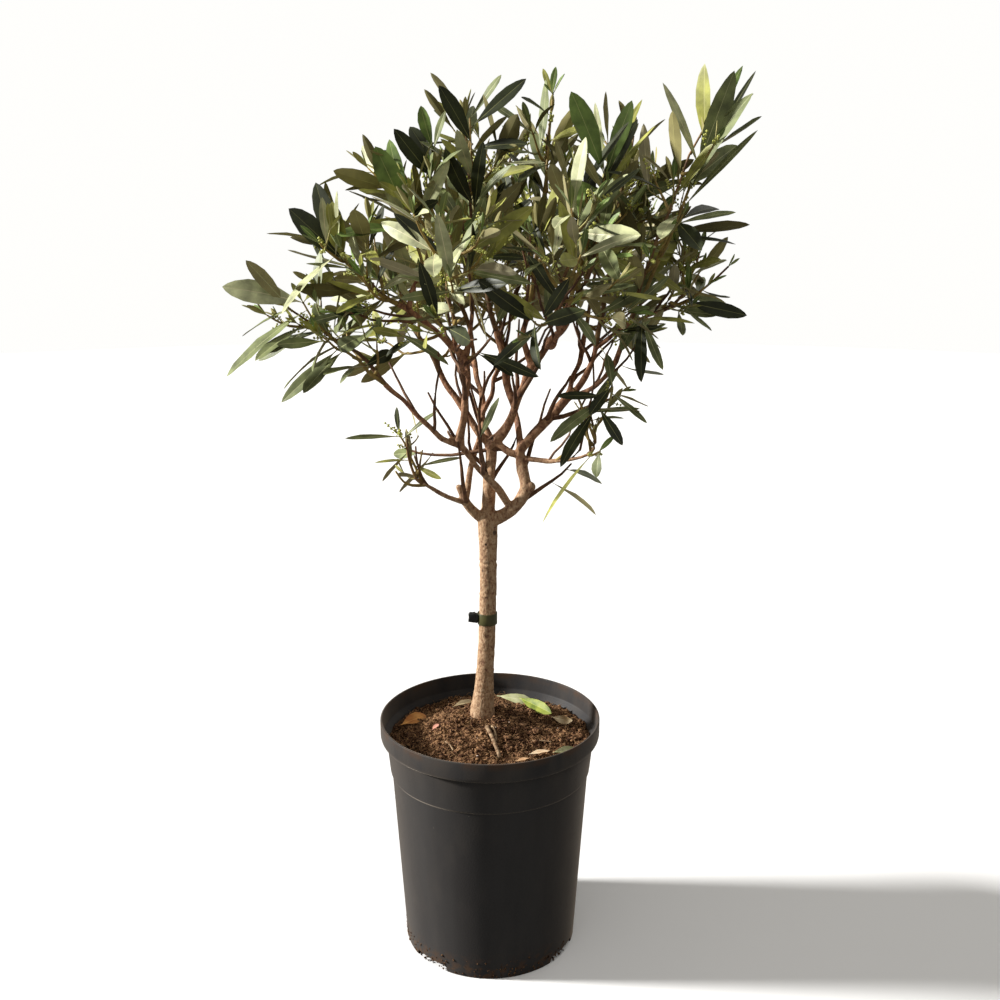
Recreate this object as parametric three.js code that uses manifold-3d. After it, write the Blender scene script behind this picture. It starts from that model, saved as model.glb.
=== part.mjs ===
// A young olive tree, trained as a half standard on a clear stem, in a black nursery pot.
// Millimetres, +Z up. The origin is the centre of the pot's flat underside; -Y is the tree's front.
// The wood is a tree of tapering limbs, each cut clear of the limb that carries it. The crown is a set of
// masses: twigs that branch by a seeded rule from one stem, with leaves in opposite pairs fused on.

import * as THREE from "three";
import { mergeVertices } from "three/addons/utils/BufferGeometryUtils.js";
import Module from "manifold-3d";

const wasm = await Module();
wasm.setup();

// ---- driving dimensions -------------------------------------------------------------------------------

const GAP = 0.3; // between pieces that touch
const FINEST = 0.06; // detail that fusing leaves on a mass and that is smoothed away again

const POT = {
  height: 230,
  rimRadius: 105,
  rimBand: 18,
  collarTop: 99.5,
  collarFoot: 96,
  collarBand: 34,
  bodyTop: 94.5,
  footRadius: 83,
  wall: 2.2,
  floor: 4,
  sides: 40,
};
const NOTCH = { height: 6, depth: 9, width: 40, angles: [-43, 58, 140, 232] }; // degrees round from the front
const SOIL = { edge: 209, crown: 222, seat: 26, bump: 2.2, wallGap: 0.6, rings: 6, sides: 24, seed: 11 };

const FOOT = [-8, 20]; // where the stem stands on the soil
const TRUNK = { top: 420, lean: [6, 0], bow: [2.5, 0, 0], foot: 12.5, waist: 8.1, head: 9.6, flare: 26 };
const TIE = { height: 322, band: 11, thick: 0.9, clear: 0.4, sides: 12, tail: [9, 5, 10], tailAt: [-0.3, -2, 1.5] };

// The faceted leaf is `fatter` than life and its `widest` place is past its middle. Pairs stand a `step` apart,
// their second leaf a little further on. A stem or side shoot is bare up to a share of its length.
const LEAF = { thick: 1, fatter: 1.35, widest: 0.55, step: 14, stagger: 0.02 };
const TWIG = { root: 1.7, tip: 0.9, bareStem: 0.12, bareShoot: 0.25, sides: 3, steps: 2 };
const LIMB = { trunkSides: 12, trunkSteps: 10, stoutRadius: 4, stoutSides: 7, thinSides: 5, steps: 4, stubAt: 0.97 };
const OWN_SPACE = 18; // how far a mass may reach past the middle between its centre and another's
const GOLDEN = Math.PI * (3 - Math.sqrt(5));

// Each bough leaves `on` at the fraction `at` of its length and runs to `tip`. Its middle stands off the
// straight line by `bow`. `foot` and `end` are its radii. A stub is a pruned stump.
const BOUGHS = [
  { name: "leader", on: "trunk", at: 1, tip: [1, 20, 491], bow: [0, 0, 0], foot: 6.6, end: 5.9 },
  { name: "right_bough", on: "trunk", at: 0.985, tip: [34, 5, 452], bow: [5, 0, -4], foot: 7, end: 6,
    stub: { tip: [39, 2, 454], radius: 4.2 } },
  { name: "left_bough", on: "trunk", at: 0.985, tip: [-24, 12, 441], bow: [-2, 0, -2], foot: 5.6, end: 4.4,
    stub: { tip: [-28, 10, 453], radius: 3.4 } },
  { name: "left_twig", on: "left_bough", at: 0.85, tip: [-60, -4, 458],
    bow: [1, 0, -3], foot: 2.8, end: 1.9 },
  { name: "back_left_bough", on: "left_bough", at: 0.9, tip: [7, 62, 552],
    bow: [-3, 4, 0], foot: 3.2, end: 2.6 },
  { name: "right_riser", on: "right_bough", at: 1, tip: [27, 12, 490],
    bow: [1, 0, -2], foot: 5.7, end: 4.9 },
  { name: "left_arm", on: "leader", at: 0.98, tip: [-44, 35, 553], bow: [0, 0, -4], foot: 4.7, end: 3.2 },
  { name: "centre_arm", on: "leader", at: 0.96, tip: [38, 0, 569], bow: [3, -2, -4], foot: 4.6, end: 4.2 },
  { name: "bridge", on: "right_riser", at: 0.88, tip: [5, 17, 493], bow: [0, 0, -2], foot: 3.6, end: 3.2 },
  { name: "back_arm", on: "leader", at: 0.97, tip: [-19, 92, 580], bow: [0, 6, -8], foot: 3.8, end: 2.8 },
  { name: "pruned_stem", on: "centre_arm", at: 1, tip: [32, 2, 605], bow: [-4, -3, -2], foot: 3.6, end: 3 },
  { name: "centre_right_arm", on: "centre_arm", at: 0.99, tip: [68, -14, 609],
    bow: [0, 0, -2], foot: 4, end: 3,
    stub: { tip: [66, -15, 617], radius: 2.8 } },
  { name: "high_twig", on: "centre_right_arm", at: 0.8, tip: [88, 4, 655],
    bow: [-2, 4, 2], foot: 2.6, end: 2 },
  { name: "front_right_arm", on: "centre_right_arm", at: 0.45, tip: [56, -92, 612], bow: [4, -12, -6],
    foot: 2.8, end: 2.1 },
  { name: "back_riser", on: "right_riser", at: 0.9, tip: [4, 42, 593], bow: [4, 4, -6], foot: 4, end: 2.8 },
  { name: "right_arm", on: "right_riser", at: 0.96, tip: [71, 18, 535], bow: [0, -3, 0], foot: 4.8, end: 4,
    stub: { tip: [74, 20, 541], radius: 3.4 } },
  { name: "right_rise", on: "right_arm", at: 1, tip: [96, 20, 580], bow: [5, 1, -5], foot: 3.3, end: 2.8 },
  { name: "back_right_arm", on: "right_arm", at: 0.85, tip: [90, 84, 584],
    bow: [2, 8, -6], foot: 3.2, end: 2.4 },
  { name: "right_reach", on: "right_rise", at: 0.98, tip: [148, 6, 610],
    bow: [-3, 3, 3], foot: 2.6, end: 1.9 },
  { name: "golden_twig", on: "right_arm", at: 0.98, tip: [122, -27, 608],
    bow: [7, -3, -12], foot: 2.7, end: 2 },
  { name: "low_right_twig", on: "right_riser", at: 0.8, tip: [86, -15, 490],
    bow: [2, -3, -8], foot: 3, end: 1.9 },
  { name: "crossing_bough", on: "right_bough", at: 0.5, tip: [-26, -22, 497], bow: [0, -4, 1],
    foot: 3.7, end: 3.4, stub: { tip: [-36, -24, 511], radius: 1.3 } },
  { name: "far_left_bough", on: "crossing_bough", at: 0.99, tip: [-90, -38, 556], bow: [2, -2, -9],
    foot: 2.9, end: 2.2 },
  { name: "front_riser", on: "crossing_bough", at: 1, tip: [-19, -18, 575],
    bow: [2, -2, 0], foot: 3.9, end: 3.3 },
  { name: "upper_left_bough", on: "front_riser", at: 0.97, tip: [-76, -31, 621], bow: [1, -2, 3],
    foot: 3.4, end: 2.3 },
  { name: "left_top_twig", on: "upper_left_bough", at: 0.85, tip: [-54, -22, 655], bow: [-5, 0, 0],
    foot: 2.4, end: 1.9 },
  { name: "inner_riser", on: "front_riser", at: 1, tip: [-14, -14, 612],
    bow: [1, 0, -3], foot: 3, end: 2.3 },
  { name: "front_left_arm", on: "front_riser", at: 0.8, tip: [-28, -92, 606], bow: [0, -12, -6],
    foot: 2.8, end: 2.1 },
];

// Each mass grows from the tip of its bough to `reach`. It has `shoots` side shoots, about `spread` long,
// with leaves about `leaf` long that hang by the share `droop`.
const MASSES = [
  { name: "far_left", on: "far_left_bough", reach: [-168, -58, 620],
    shoots: 5, spread: 44, leaf: 70, droop: 0.35, seed: 29 },
  { name: "left_sprig", on: "left_twig", reach: [-73, -14, 501],
    shoots: 2, spread: 26, leaf: 42, droop: 0.1, seed: 42 },
  { name: "upper_left", on: "upper_left_bough", reach: [-128, -48, 666],
    shoots: 6, spread: 50, leaf: 60, droop: 0.2, seed: 22 },
  { name: "left_top", on: "left_top_twig", reach: [-72, -30, 730],
    shoots: 5, spread: 48, leaf: 60, droop: 0, seed: 29 },
  { name: "top_left", on: "inner_riser", reach: [-20, -5, 774],
    shoots: 6, spread: 48, leaf: 58, droop: 0.1, seed: 26 },
  { name: "left_mid", on: "left_arm", reach: [-98, 70, 650],
    shoots: 6, spread: 56, leaf: 60, droop: 0.3, seed: 43 },
  { name: "top_centre", on: "pruned_stem", reach: [54, 10, 776],
    shoots: 7, spread: 52, leaf: 56, droop: 0.1, seed: 19 },
  { name: "centre_right", on: "centre_right_arm", reach: [98, -40, 716],
    shoots: 6, spread: 54, leaf: 62, droop: 0.2, seed: 27 },
  { name: "high_right", on: "high_twig", reach: [128, 30, 762],
    shoots: 5, spread: 48, leaf: 56, droop: 0, seed: 42 },
  { name: "right_mid", on: "right_rise", reach: [134, 40, 716],
    shoots: 6, spread: 56, leaf: 60, droop: 0.2, seed: 20 },
  { name: "right_top", on: "golden_twig", reach: [174, -46, 764],
    shoots: 5, spread: 44, leaf: 74, droop: 0, seed: 13 },
  { name: "right_low", on: "right_reach", reach: [184, 5, 664],
    shoots: 5, spread: 42, leaf: 56, droop: 0.3, seed: 42 },
  { name: "low_right", on: "low_right_twig", reach: [90, -20, 528],
    shoots: 5, spread: 38, leaf: 62, droop: 0.9, seed: 111 },
  { name: "back_left", on: "back_left_bough", reach: [-33, 110, 690],
    shoots: 7, spread: 60, leaf: 60, droop: 0.2, seed: 6 },
  { name: "back_centre", on: "back_riser", reach: [19, 60, 746],
    shoots: 7, spread: 56, leaf: 58, droop: 0.1, seed: 19 },
  { name: "back", on: "back_arm", reach: [-61, 160, 672],
    shoots: 7, spread: 60, leaf: 62, droop: 0.3, seed: 18 },
  { name: "back_right", on: "back_right_arm", reach: [119, 150, 690],
    shoots: 7, spread: 60, leaf: 62, droop: 0.3, seed: 20 },
  { name: "front_left", on: "front_left_arm", reach: [-27, -140, 680],
    shoots: 6, spread: 56, leaf: 60, droop: 0.3, seed: 9 },
  { name: "front_right", on: "front_right_arm", reach: [75, -140, 690],
    shoots: 6, spread: 56, leaf: 60, droop: 0.3, seed: 26 },
];

const COLOURS = {
  pot: 0x2b2a29,
  soil: 0x4a3226,
  bark: 0x8a6a50,
  tie: 0x3a4a24,
  leaf: 0x58663f,
};

// ---- small tools --------------------------------------------------------------------------------------

// A repeatable run of numbers between 0 and 1.
class Seeded {
  constructor(seed) {
    this.state = seed * 7919;
    for (let i = 0; i < 3; i++) this.next();
  }
  next() {
    this.state = (this.state * 1664525 + 1013904223) % 4294967296;
    return this.state / 4294967296;
  }
  between(low, high) {
    return low + (high - low) * this.next();
  }
}

const vector = (list) => new THREE.Vector3(...list);

function solidOf(geometry) {
  const bare = new THREE.BufferGeometry();
  bare.setAttribute("position", geometry.getAttribute("position"));
  bare.setIndex(geometry.index);
  const merged = mergeVertices(bare, 1e-4);
  return new wasm.Manifold(
    new wasm.Mesh({
      numProp: 3,
      vertProperties: new Float32Array(merged.attributes.position.array),
      triVerts: new Uint32Array(merged.index.array),
    }),
  );
}

function geometryOf(solid) {
  const mesh = solid.getMesh();
  const geometry = new THREE.BufferGeometry();
  geometry.setAttribute("position", new THREE.BufferAttribute(mesh.vertProperties, 3));
  geometry.setIndex(new THREE.BufferAttribute(mesh.triVerts, 1));
  geometry.computeVertexNormals();
  return geometry;
}

function largestPiece(solid) {
  return solid.decompose().reduce((a, b) => (b.volume() > a.volume() ? b : a));
}

function boxesMeet(a, b) {
  const p = a.boundingBox();
  const q = b.boundingBox();
  return [0, 1, 2].every((i) => p.min[i] < q.max[i] && q.min[i] < p.max[i]);
}

function meets(a, b) {
  return boxesMeet(a, b) && a.intersect(b).volume() > 0;
}

// A quadratic curve from a to b whose middle stands off the straight line by bow.
function bowed(a, b, bow) {
  const control = a.clone().add(b).multiplyScalar(0.5).addScaledVector(bow, 2);
  return new THREE.QuadraticBezierCurve3(a, control, b);
}

// A round bar along a curve: a cylinder of rings, bent to the curve. radiusAt takes the fraction along it.
function bar(curve, radiusAt, sides, steps) {
  const geometry = new THREE.CylinderGeometry(1, 1, 1, sides, steps);
  const frames = curve.computeFrenetFrames(steps, false);
  const places = geometry.getAttribute("position");
  const point = new THREE.Vector3();
  for (let i = 0; i < places.count; i++) {
    const at = places.getY(i) + 0.5;
    const ring = Math.round(at * steps);
    const radius = radiusAt(at);
    curve.getPoint(at, point);
    point.addScaledVector(frames.normals[ring], places.getX(i) * radius);
    point.addScaledVector(frames.binormals[ring], -places.getZ(i) * radius);
    places.setXYZ(i, point.x, point.y, point.z);
  }
  return solidOf(geometry);
}

// ---- pot and soil -------------------------------------------------------------------------------------

function potProfile() {
  const { height, rimRadius, rimBand, wall } = POT;
  const rimFoot = height - rimBand;
  const collarFoot = rimFoot - POT.collarBand;
  const lip = 1.2;
  return [
    [0, 0],
    [POT.footRadius - 1.5, 0],
    [POT.footRadius, 1.5],
    [POT.bodyTop, collarFoot - 1.5],
    [POT.collarFoot, collarFoot],
    [POT.collarTop, rimFoot - 1],
    [rimRadius - lip, rimFoot],
    [rimRadius, height - lip],
    [rimRadius - lip, height],
    [rimRadius - wall, height],
    [rimRadius - wall - 0.8, rimFoot + 2],
    [POT.collarTop - wall, rimFoot - 3],
    [POT.bodyTop - wall, collarFoot - 3],
    [POT.footRadius - wall, POT.floor],
    [0, POT.floor],
  ].map(([r, z]) => new THREE.Vector2(r, z));
}

function turned(profile, sides) {
  return solidOf(new THREE.LatheGeometry(profile, sides).rotateX(Math.PI / 2));
}

function makePot() {
  const cuts = NOTCH.angles.map((angle) => {
    const reach = NOTCH.depth * 2;
    const box = new THREE.BoxGeometry(NOTCH.width, reach, NOTCH.height * 2);
    box.translate(0, -POT.footRadius, 0);
    box.rotateZ(THREE.MathUtils.degToRad(angle));
    return solidOf(box);
  });
  return turned(potProfile(), POT.sides).subtract(wasm.Manifold.union(cuts));
}

// The inside of the pot at a height, found along its inner profile.
function innerRadius(z) {
  const inside = potProfile().slice(9, 14);
  for (let i = 0; i + 1 < inside.length; i++) {
    const [upper, lower] = [inside[i], inside[i + 1]];
    if (z <= upper.y && z >= lower.y) {
      const share = (z - lower.y) / (upper.y - lower.y);
      return lower.x + (upper.x - lower.x) * share;
    }
  }
  return inside[inside.length - 1].x;
}

// The height of the soil at a share of the way from the stem to the pot's wall.
function soilHeight(share, random) {
  const seat = SOIL.seat / POT.footRadius;
  if (share <= seat) return SOIL.crown;
  const fall = (share - seat) / (1 - seat);
  return SOIL.crown - (SOIL.crown - SOIL.edge) * Math.sqrt(fall) + random.between(-1, 1) * SOIL.bump;
}

function makeSoil() {
  const collarFoot = POT.height - POT.rimBand - POT.collarBand;
  const lowest = POT.floor + GAP;
  const wallAt = [lowest, collarFoot - 3, SOIL.edge].map((z) => [innerRadius(z) - SOIL.wallGap, z]);
  const edge = wallAt[2][0];
  const top = [];
  for (let ring = 1; ring < SOIL.rings; ring++) top.push([edge * (1 - ring / SOIL.rings), SOIL.edge]);
  const profile = [[0, lowest], ...wallAt, ...top, [0, SOIL.edge]].map(([r, z]) => new THREE.Vector2(r, z));
  const lathe = new THREE.LatheGeometry(profile, SOIL.sides).rotateX(Math.PI / 2);
  const geometry = mergeVertices(
    new THREE.BufferGeometry().setAttribute("position", lathe.getAttribute("position")).setIndex(lathe.index),
    1e-4,
  );
  const places = geometry.getAttribute("position");
  const random = new Seeded(SOIL.seed);
  for (let i = 0; i < places.count; i++) {
    const [x, y, z] = [places.getX(i), places.getY(i), places.getZ(i)];
    const share = Math.hypot(x, y) / edge;
    if (z < SOIL.edge - 0.01 || share > 0.99) continue;
    const pull = 1 - share;
    places.setXYZ(i, x + FOOT[0] * pull, y + FOOT[1] * pull, soilHeight(share, random));
  }
  return solidOf(geometry);
}

// ---- wood ---------------------------------------------------------------------------------------------

const wood = new Map(); // name: { curve, end, solid, guard }

// Puts a limb in place: it is cut clear of every limb that is there already, and its guard, a copy that is
// fatter by the gap, will cut the next ones clear of it.
function addLimb(name, curve, radiusAt, sides, steps, stub) {
  const make = (extra) => {
    const whole = bar(curve, (at) => radiusAt(at) + extra, sides, steps);
    if (!stub) return whole;
    const stump = bar(
      new THREE.LineCurve3(curve.getPoint(LIMB.stubAt), vector(stub.tip)),
      () => stub.radius + extra,
      LIMB.thinSides,
      1,
    );
    return whole.add(stump);
  };
  let solid = make(0);
  for (const other of wood.values()) {
    if (boxesMeet(solid, other.guard)) solid = solid.subtract(other.guard);
  }
  wood.set(name, { curve, end: radiusAt(1), solid: largestPiece(solid), guard: make(GAP) });
}

function trunkRadius(at) {
  const height = at * (TRUNK.top - SOIL.crown);
  const flare = (TRUNK.foot - TRUNK.waist) * Math.exp(-((height / TRUNK.flare) ** 1.3));
  const head = (TRUNK.head - TRUNK.waist) * Math.max(0, (at - 0.6) / 0.4) ** 2;
  return TRUNK.waist + flare + head;
}

function growWood() {
  const foot = new THREE.Vector3(FOOT[0], FOOT[1], SOIL.crown - 2);
  const top = new THREE.Vector3(FOOT[0] + TRUNK.lean[0], FOOT[1] + TRUNK.lean[1], TRUNK.top);
  addLimb("trunk", bowed(foot, top, vector(TRUNK.bow)), trunkRadius, LIMB.trunkSides, LIMB.trunkSteps);
  const trunk = wood.get("trunk"); // its foot is cut off flat where it stands on the soil
  trunk.solid = trunk.solid.trimByPlane([0, 0, 1], SOIL.crown + GAP);
  for (const bough of BOUGHS) {
    const root = wood.get(bough.on).curve.getPoint(bough.at);
    const curve = bowed(root, vector(bough.tip), vector(bough.bow));
    const taper = (at) => bough.foot + (bough.end - bough.foot) * at;
    const sides = bough.foot > LIMB.stoutRadius ? LIMB.stoutSides : LIMB.thinSides;
    addLimb(bough.name, curve, taper, sides, LIMB.steps, bough.stub);
  }
}

// The tie round the stem, with the folded tail of its clip on the left.
function makeTie() {
  const trunk = wood.get("trunk");
  const at = (TIE.height - SOIL.crown) / (TRUNK.top - SOIL.crown);
  const centre = trunk.curve.getPoint(at);
  const inner = trunkRadius(at) + TIE.clear;
  const outer = inner + TIE.thick;
  const half = TIE.band / 2;
  const profile = [
    [inner, -half],
    [outer, -half],
    [outer, half],
    [inner, half],
    [inner, -half],
  ].map(([r, z]) => new THREE.Vector2(r, z));
  const band = turned(profile, TIE.sides);
  const [long, wide, high] = TIE.tail;
  const tail = new THREE.BoxGeometry(long, wide, high);
  const [out, across, up] = TIE.tailAt;
  tail.translate(out - (inner + long / 2), across, up);
  return band.add(solidOf(tail)).translate([centre.x, centre.y, centre.z]);
}

// ---- foliage ------------------------------------------------------------------------------------------

// One leaf: an eight-faced lens from its root to its tip, widest past the middle and bent by its curl.
// extra makes it larger all round.
function leafSolid(leaf, extra) {
  const geometry = new THREE.OctahedronGeometry(1, 0);
  const places = geometry.getAttribute("position");
  const side = new THREE.Vector3().crossVectors(leaf.normal, leaf.axis);
  const bend = leaf.length * leaf.curl;
  for (let i = 0; i < places.count; i++) {
    const [x, y, z] = [places.getX(i), places.getY(i), places.getZ(i)];
    const along = x > 0.5 ? 1 : x < -0.5 ? 0 : LEAF.widest;
    const point = leaf.root.clone();
    point.addScaledVector(leaf.axis, along * leaf.length + x * extra);
    point.addScaledVector(side, y * (leaf.width / 2 + extra));
    point.addScaledVector(leaf.normal, z * (LEAF.thick / 2 + extra) - bend * along * along);
    places.setXYZ(i, point.x, point.y, point.z);
  }
  return solidOf(geometry);
}

// Any unit vector square to a direction, and the one square to both.
function squareTo(direction) {
  const up = Math.abs(direction.z) < 0.9 ? new THREE.Vector3(0, 0, 1) : new THREE.Vector3(1, 0, 0);
  const first = new THREE.Vector3().crossVectors(direction, up).normalize();
  const second = new THREE.Vector3().crossVectors(direction, first);
  return [first, second];
}

function swung(direction, lean, turn) {
  const [first, second] = squareTo(direction);
  return direction
    .clone()
    .multiplyScalar(Math.cos(lean))
    .addScaledVector(first, Math.sin(lean) * Math.cos(turn))
    .addScaledVector(second, Math.sin(lean) * Math.sin(turn))
    .normalize();
}

// A leaf that leaves a twig at a point. `tip` is how near the shoot's tip it is, 0 to 1.
function growLeaf(mass, root, direction, turn, tip, random) {
  const lean = random.between(0.75, 1.2) * (1 - 0.45 * tip);
  const axis = swung(direction, lean, turn);
  axis.z -= mass.droop * random.between(0.6, 1.4);
  axis.normalize();
  const normal = direction.clone().addScaledVector(axis, -direction.dot(axis)).normalize();
  normal.applyAxisAngle(axis, random.between(-0.6, 0.6));
  const size = 1 - 0.25 * Math.abs(tip - 0.4) - 0.35 * Math.max(0, tip - 0.7);
  const length = mass.leaf * size * random.between(0.82, 1.18);
  const width = length * random.between(0.2, 0.29) * LEAF.fatter;
  const curl = random.between(-0.12, 0.2);
  return { root, axis, normal, length, width, curl };
}

// The point at a fraction of a twig's length, on the straight runs between its rings.
function pointOn(curve, at) {
  const run = Math.min(TWIG.steps - 1, Math.floor(at * TWIG.steps));
  return curve.getPoint(run / TWIG.steps).lerp(curve.getPoint((run + 1) / TWIG.steps), at * TWIG.steps - run);
}

// The leaves of one shoot, in opposite pairs, each pair a quarter turn on from the last.
function growLeaves(mass, curve, from, random) {
  const leaves = [];
  const span = curve.v0.distanceTo(curve.v2) * (1 - from);
  const pairs = Math.max(2, Math.round(span / LEAF.step));
  let turn = random.between(0, Math.PI);
  for (let pair = 0; pair < pairs; pair++) {
    const tip = (pair + 0.6) / pairs;
    turn += Math.PI / 2 + random.between(-0.25, 0.25);
    for (const half of [0, 1]) {
      const at = from + (1 - from) * Math.min(0.98, tip + half * LEAF.stagger);
      leaves.push(
        growLeaf(mass, pointOn(curve, at), curve.getTangent(at), turn + half * Math.PI, tip, random),
      );
    }
  }
  return leaves;
}

// The stem of a mass and its side shoots, each with its curve, radii and leaves.
function growShoots(mass) {
  const random = new Seeded(mass.seed);
  const bough = wood.get(mass.on);
  const along = bough.curve.getTangent(1);
  const start = bough.curve.getPoint(1).addScaledVector(along, GAP);
  const reach = vector(mass.reach);
  const control = start.clone().addScaledVector(along, 0.4 * start.distanceTo(reach));
  const stem = new THREE.QuadraticBezierCurve3(start, control, reach);
  const leaves = growLeaves(mass, stem, TWIG.bareStem, random);
  const shoots = [{ curve: stem, root: bough.end * 0.9, tip: TWIG.tip, leaves }];
  for (let i = 0; i < mass.shoots; i++) {
    const at = 0.04 + (0.82 * (i + 0.5)) / mass.shoots;
    const lean = random.between(0.6, 1.05);
    const turn = i * GOLDEN + random.between(-0.5, 0.5);
    const length = mass.spread * random.between(0.75, 1.2) * (1 - 0.3 * at);
    const from = pointOn(stem, at);
    const heading = swung(stem.getTangent(at), lean, turn + mass.seed);
    const tip = from.clone().addScaledVector(heading, length);
    const lift = new THREE.Vector3(0, 0, -0.12 * length);
    tip.z += (0.5 * at - 0.15) * length;
    const curve = bowed(from, tip, lift);
    const leaves = growLeaves(mass, curve, TWIG.bareShoot, random);
    shoots.push({ curve, root: TWIG.root, tip: TWIG.tip, leaves });
  }
  return shoots;
}

const grown = []; // every twig and leaf so far: { mass, shoot, solid }
const centres = MASSES.map((mass) => {
  const tip = BOUGHS.find((bough) => bough.name === mass.on).tip;
  return vector(tip).lerp(vector(mass.reach), 0.6);
});

// A mass keeps to its own space: the points nearer to its centre than to any other, and a little over.
function inSpace(index, point) {
  const own = point.distanceTo(centres[index]) - OWN_SPACE;
  return centres.every((centre, i) => i === index || point.distanceTo(centre) > own);
}

// A leaf without its root, which is all of it that has to stay clear of its own shoot.
function bladeOf(leaf) {
  const start = 0.2 * leaf.length;
  const root = leaf.root.clone().addScaledVector(leaf.axis, start);
  return { ...leaf, root, length: leaf.length - start };
}

// Whether a twig or leaf is clear of the wood and of all that is grown, apart from what is its own.
function isClear(guard, isOwn) {
  for (const limb of wood.values()) {
    if (meets(guard, limb.solid)) return false;
  }
  return grown.every((other) => isOwn(other) || !meets(guard, other.solid));
}

function twigSolid(shoot, extra) {
  return bar(shoot.curve, (at) => shoot.root + (shoot.tip - shoot.root) * at + extra, TWIG.sides, TWIG.steps);
}

// The stem of a mass, cut clear of the wood.
function addStem(mass, shoot) {
  let solid = twigSolid(shoot, 0);
  for (const limb of wood.values()) {
    if (boxesMeet(solid, limb.guard)) solid = solid.subtract(limb.guard);
  }
  grown.push({ mass, shoot, solid: largestPiece(solid) });
}

// A side shoot, where it finds room.
function addTwig(mass, shoot) {
  if (!isClear(twigSolid(shoot, GAP), (other) => other.mass === mass)) return;
  grown.push({ mass, shoot, solid: twigSolid(shoot, 0) });
}

// The leaves of a shoot that find room in the mass's own space.
function addLeaves(index, { mass, shoot }) {
  for (const leaf of shoot.leaves) {
    const middle = leaf.root.clone().addScaledVector(leaf.axis, leaf.length * 0.6);
    if (!inSpace(index, middle)) continue;
    if (!isClear(leafSolid(leaf, GAP), (other) => other.shoot === shoot)) continue;
    if (!isClear(leafSolid(bladeOf(leaf), 0), (other) => other.shoot !== shoot)) continue;
    grown.push({ mass, shoot, solid: leafSolid(leaf, 0) });
  }
}

// Every mass as one solid. All the stems stand first, and each mass in turn then grows side shoots and leaves.
function growMasses() {
  const shoots = MASSES.map(growShoots);
  MASSES.forEach((mass, index) => addStem(mass, shoots[index][0]));
  return MASSES.map((mass, index) => {
    for (const shoot of shoots[index].slice(1)) addTwig(mass, shoot);
    const twigs = grown.filter((piece) => piece.mass === mass);
    for (const twig of twigs) addLeaves(index, twig);
    const pieces = grown.filter((piece) => piece.mass === mass).map((piece) => piece.solid);
    return largestPiece(wasm.Manifold.union(pieces).asOriginal().simplify(FINEST));
  });
}

// ---- the whole plant ----------------------------------------------------------------------------------

const plant = new THREE.Group();
plant.name = "potted_olive_tree";

function addNode(name, solid, colour, roughness) {
  const material = new THREE.MeshStandardMaterial({ color: colour, roughness, metalness: 0 });
  const mesh = new THREE.Mesh(geometryOf(solid), material);
  mesh.name = name;
  plant.add(mesh);
}

addNode("pot", makePot(), COLOURS.pot, 0.55);
addNode("soil", makeSoil(), COLOURS.soil, 1);
growWood();
for (const [name, limb] of wood) addNode(name, limb.solid, COLOURS.bark, 0.85);
addNode("tie", makeTie(), COLOURS.tie, 0.5);
growMasses().forEach((solid, index) => {
  addNode(`foliage_${MASSES[index].name}`, solid, COLOURS.leaf, 0.5);
});

export default plant;
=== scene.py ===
"""A young olive tree on a clear stem in a black nursery pot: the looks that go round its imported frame.

The wood, the shoots and the leaves are grown again here by the rule that the frame's solids follow, and
carried on to finer twigs, flower buds and true leaf shapes. Sizes are in millimetres, +Z is up, the
origin is the middle of the pot's flat underside and -Y is the tree's front. Meshes are turned into metres
as they are made.
"""

import logging
import math
from dataclasses import dataclass, field
from enum import Enum
from typing import Callable, Iterable, Sequence

import bmesh
import bpy
import numpy as np
from mathutils import Matrix, Vector, noise


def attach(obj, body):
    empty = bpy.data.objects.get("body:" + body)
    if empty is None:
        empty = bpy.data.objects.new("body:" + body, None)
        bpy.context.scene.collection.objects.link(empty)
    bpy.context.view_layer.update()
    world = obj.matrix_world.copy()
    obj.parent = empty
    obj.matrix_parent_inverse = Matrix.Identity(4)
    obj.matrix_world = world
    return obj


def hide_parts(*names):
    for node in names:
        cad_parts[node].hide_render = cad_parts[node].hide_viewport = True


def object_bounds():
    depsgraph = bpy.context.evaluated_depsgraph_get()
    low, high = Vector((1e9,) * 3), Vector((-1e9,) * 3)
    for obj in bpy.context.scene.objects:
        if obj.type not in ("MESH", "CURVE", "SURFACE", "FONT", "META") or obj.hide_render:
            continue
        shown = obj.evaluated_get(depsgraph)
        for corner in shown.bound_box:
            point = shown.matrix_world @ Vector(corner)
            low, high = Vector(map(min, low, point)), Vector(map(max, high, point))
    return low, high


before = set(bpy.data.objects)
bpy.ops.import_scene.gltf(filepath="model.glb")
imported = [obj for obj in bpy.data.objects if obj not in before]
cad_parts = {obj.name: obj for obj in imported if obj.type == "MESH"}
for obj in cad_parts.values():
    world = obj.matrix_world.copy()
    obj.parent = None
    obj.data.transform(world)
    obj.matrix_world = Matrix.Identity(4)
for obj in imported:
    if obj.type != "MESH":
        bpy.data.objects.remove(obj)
CAD_BOX = [list(corner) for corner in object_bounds()]

log = logging.getLogger("olive")

MM = 0.001
BODY = "root"
GOLDEN = math.pi * (3 - math.sqrt(5))
CROOKED_FROM = 425
CROOKED_RISE = 40
CROOK_LENGTH = 26
CROOK = 4.2
CROOK_SIDES = ((0, 0, 0), (31, 7, 12), (5, 43, 28))

Pair = tuple[float, float]
Point = tuple[float, float, float]
Hex = str
Mesh = bpy.types.Mesh
Piece = bpy.types.Object
Material = bpy.types.Material
Socket = bpy.types.NodeSocket
Shade = Socket | Hex
Value = Socket | float
Shape = bmesh.types.BMesh
Vert = bmesh.types.BMVert
Edge = bmesh.types.BMEdge

MIDDLE: Point = (0, 0, 0)
UPWARD: Point = (0, 0, 1)
EVEN: Point = (1, 1, 1)
OVERHANG = 6


# ---- small tools ----


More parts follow.
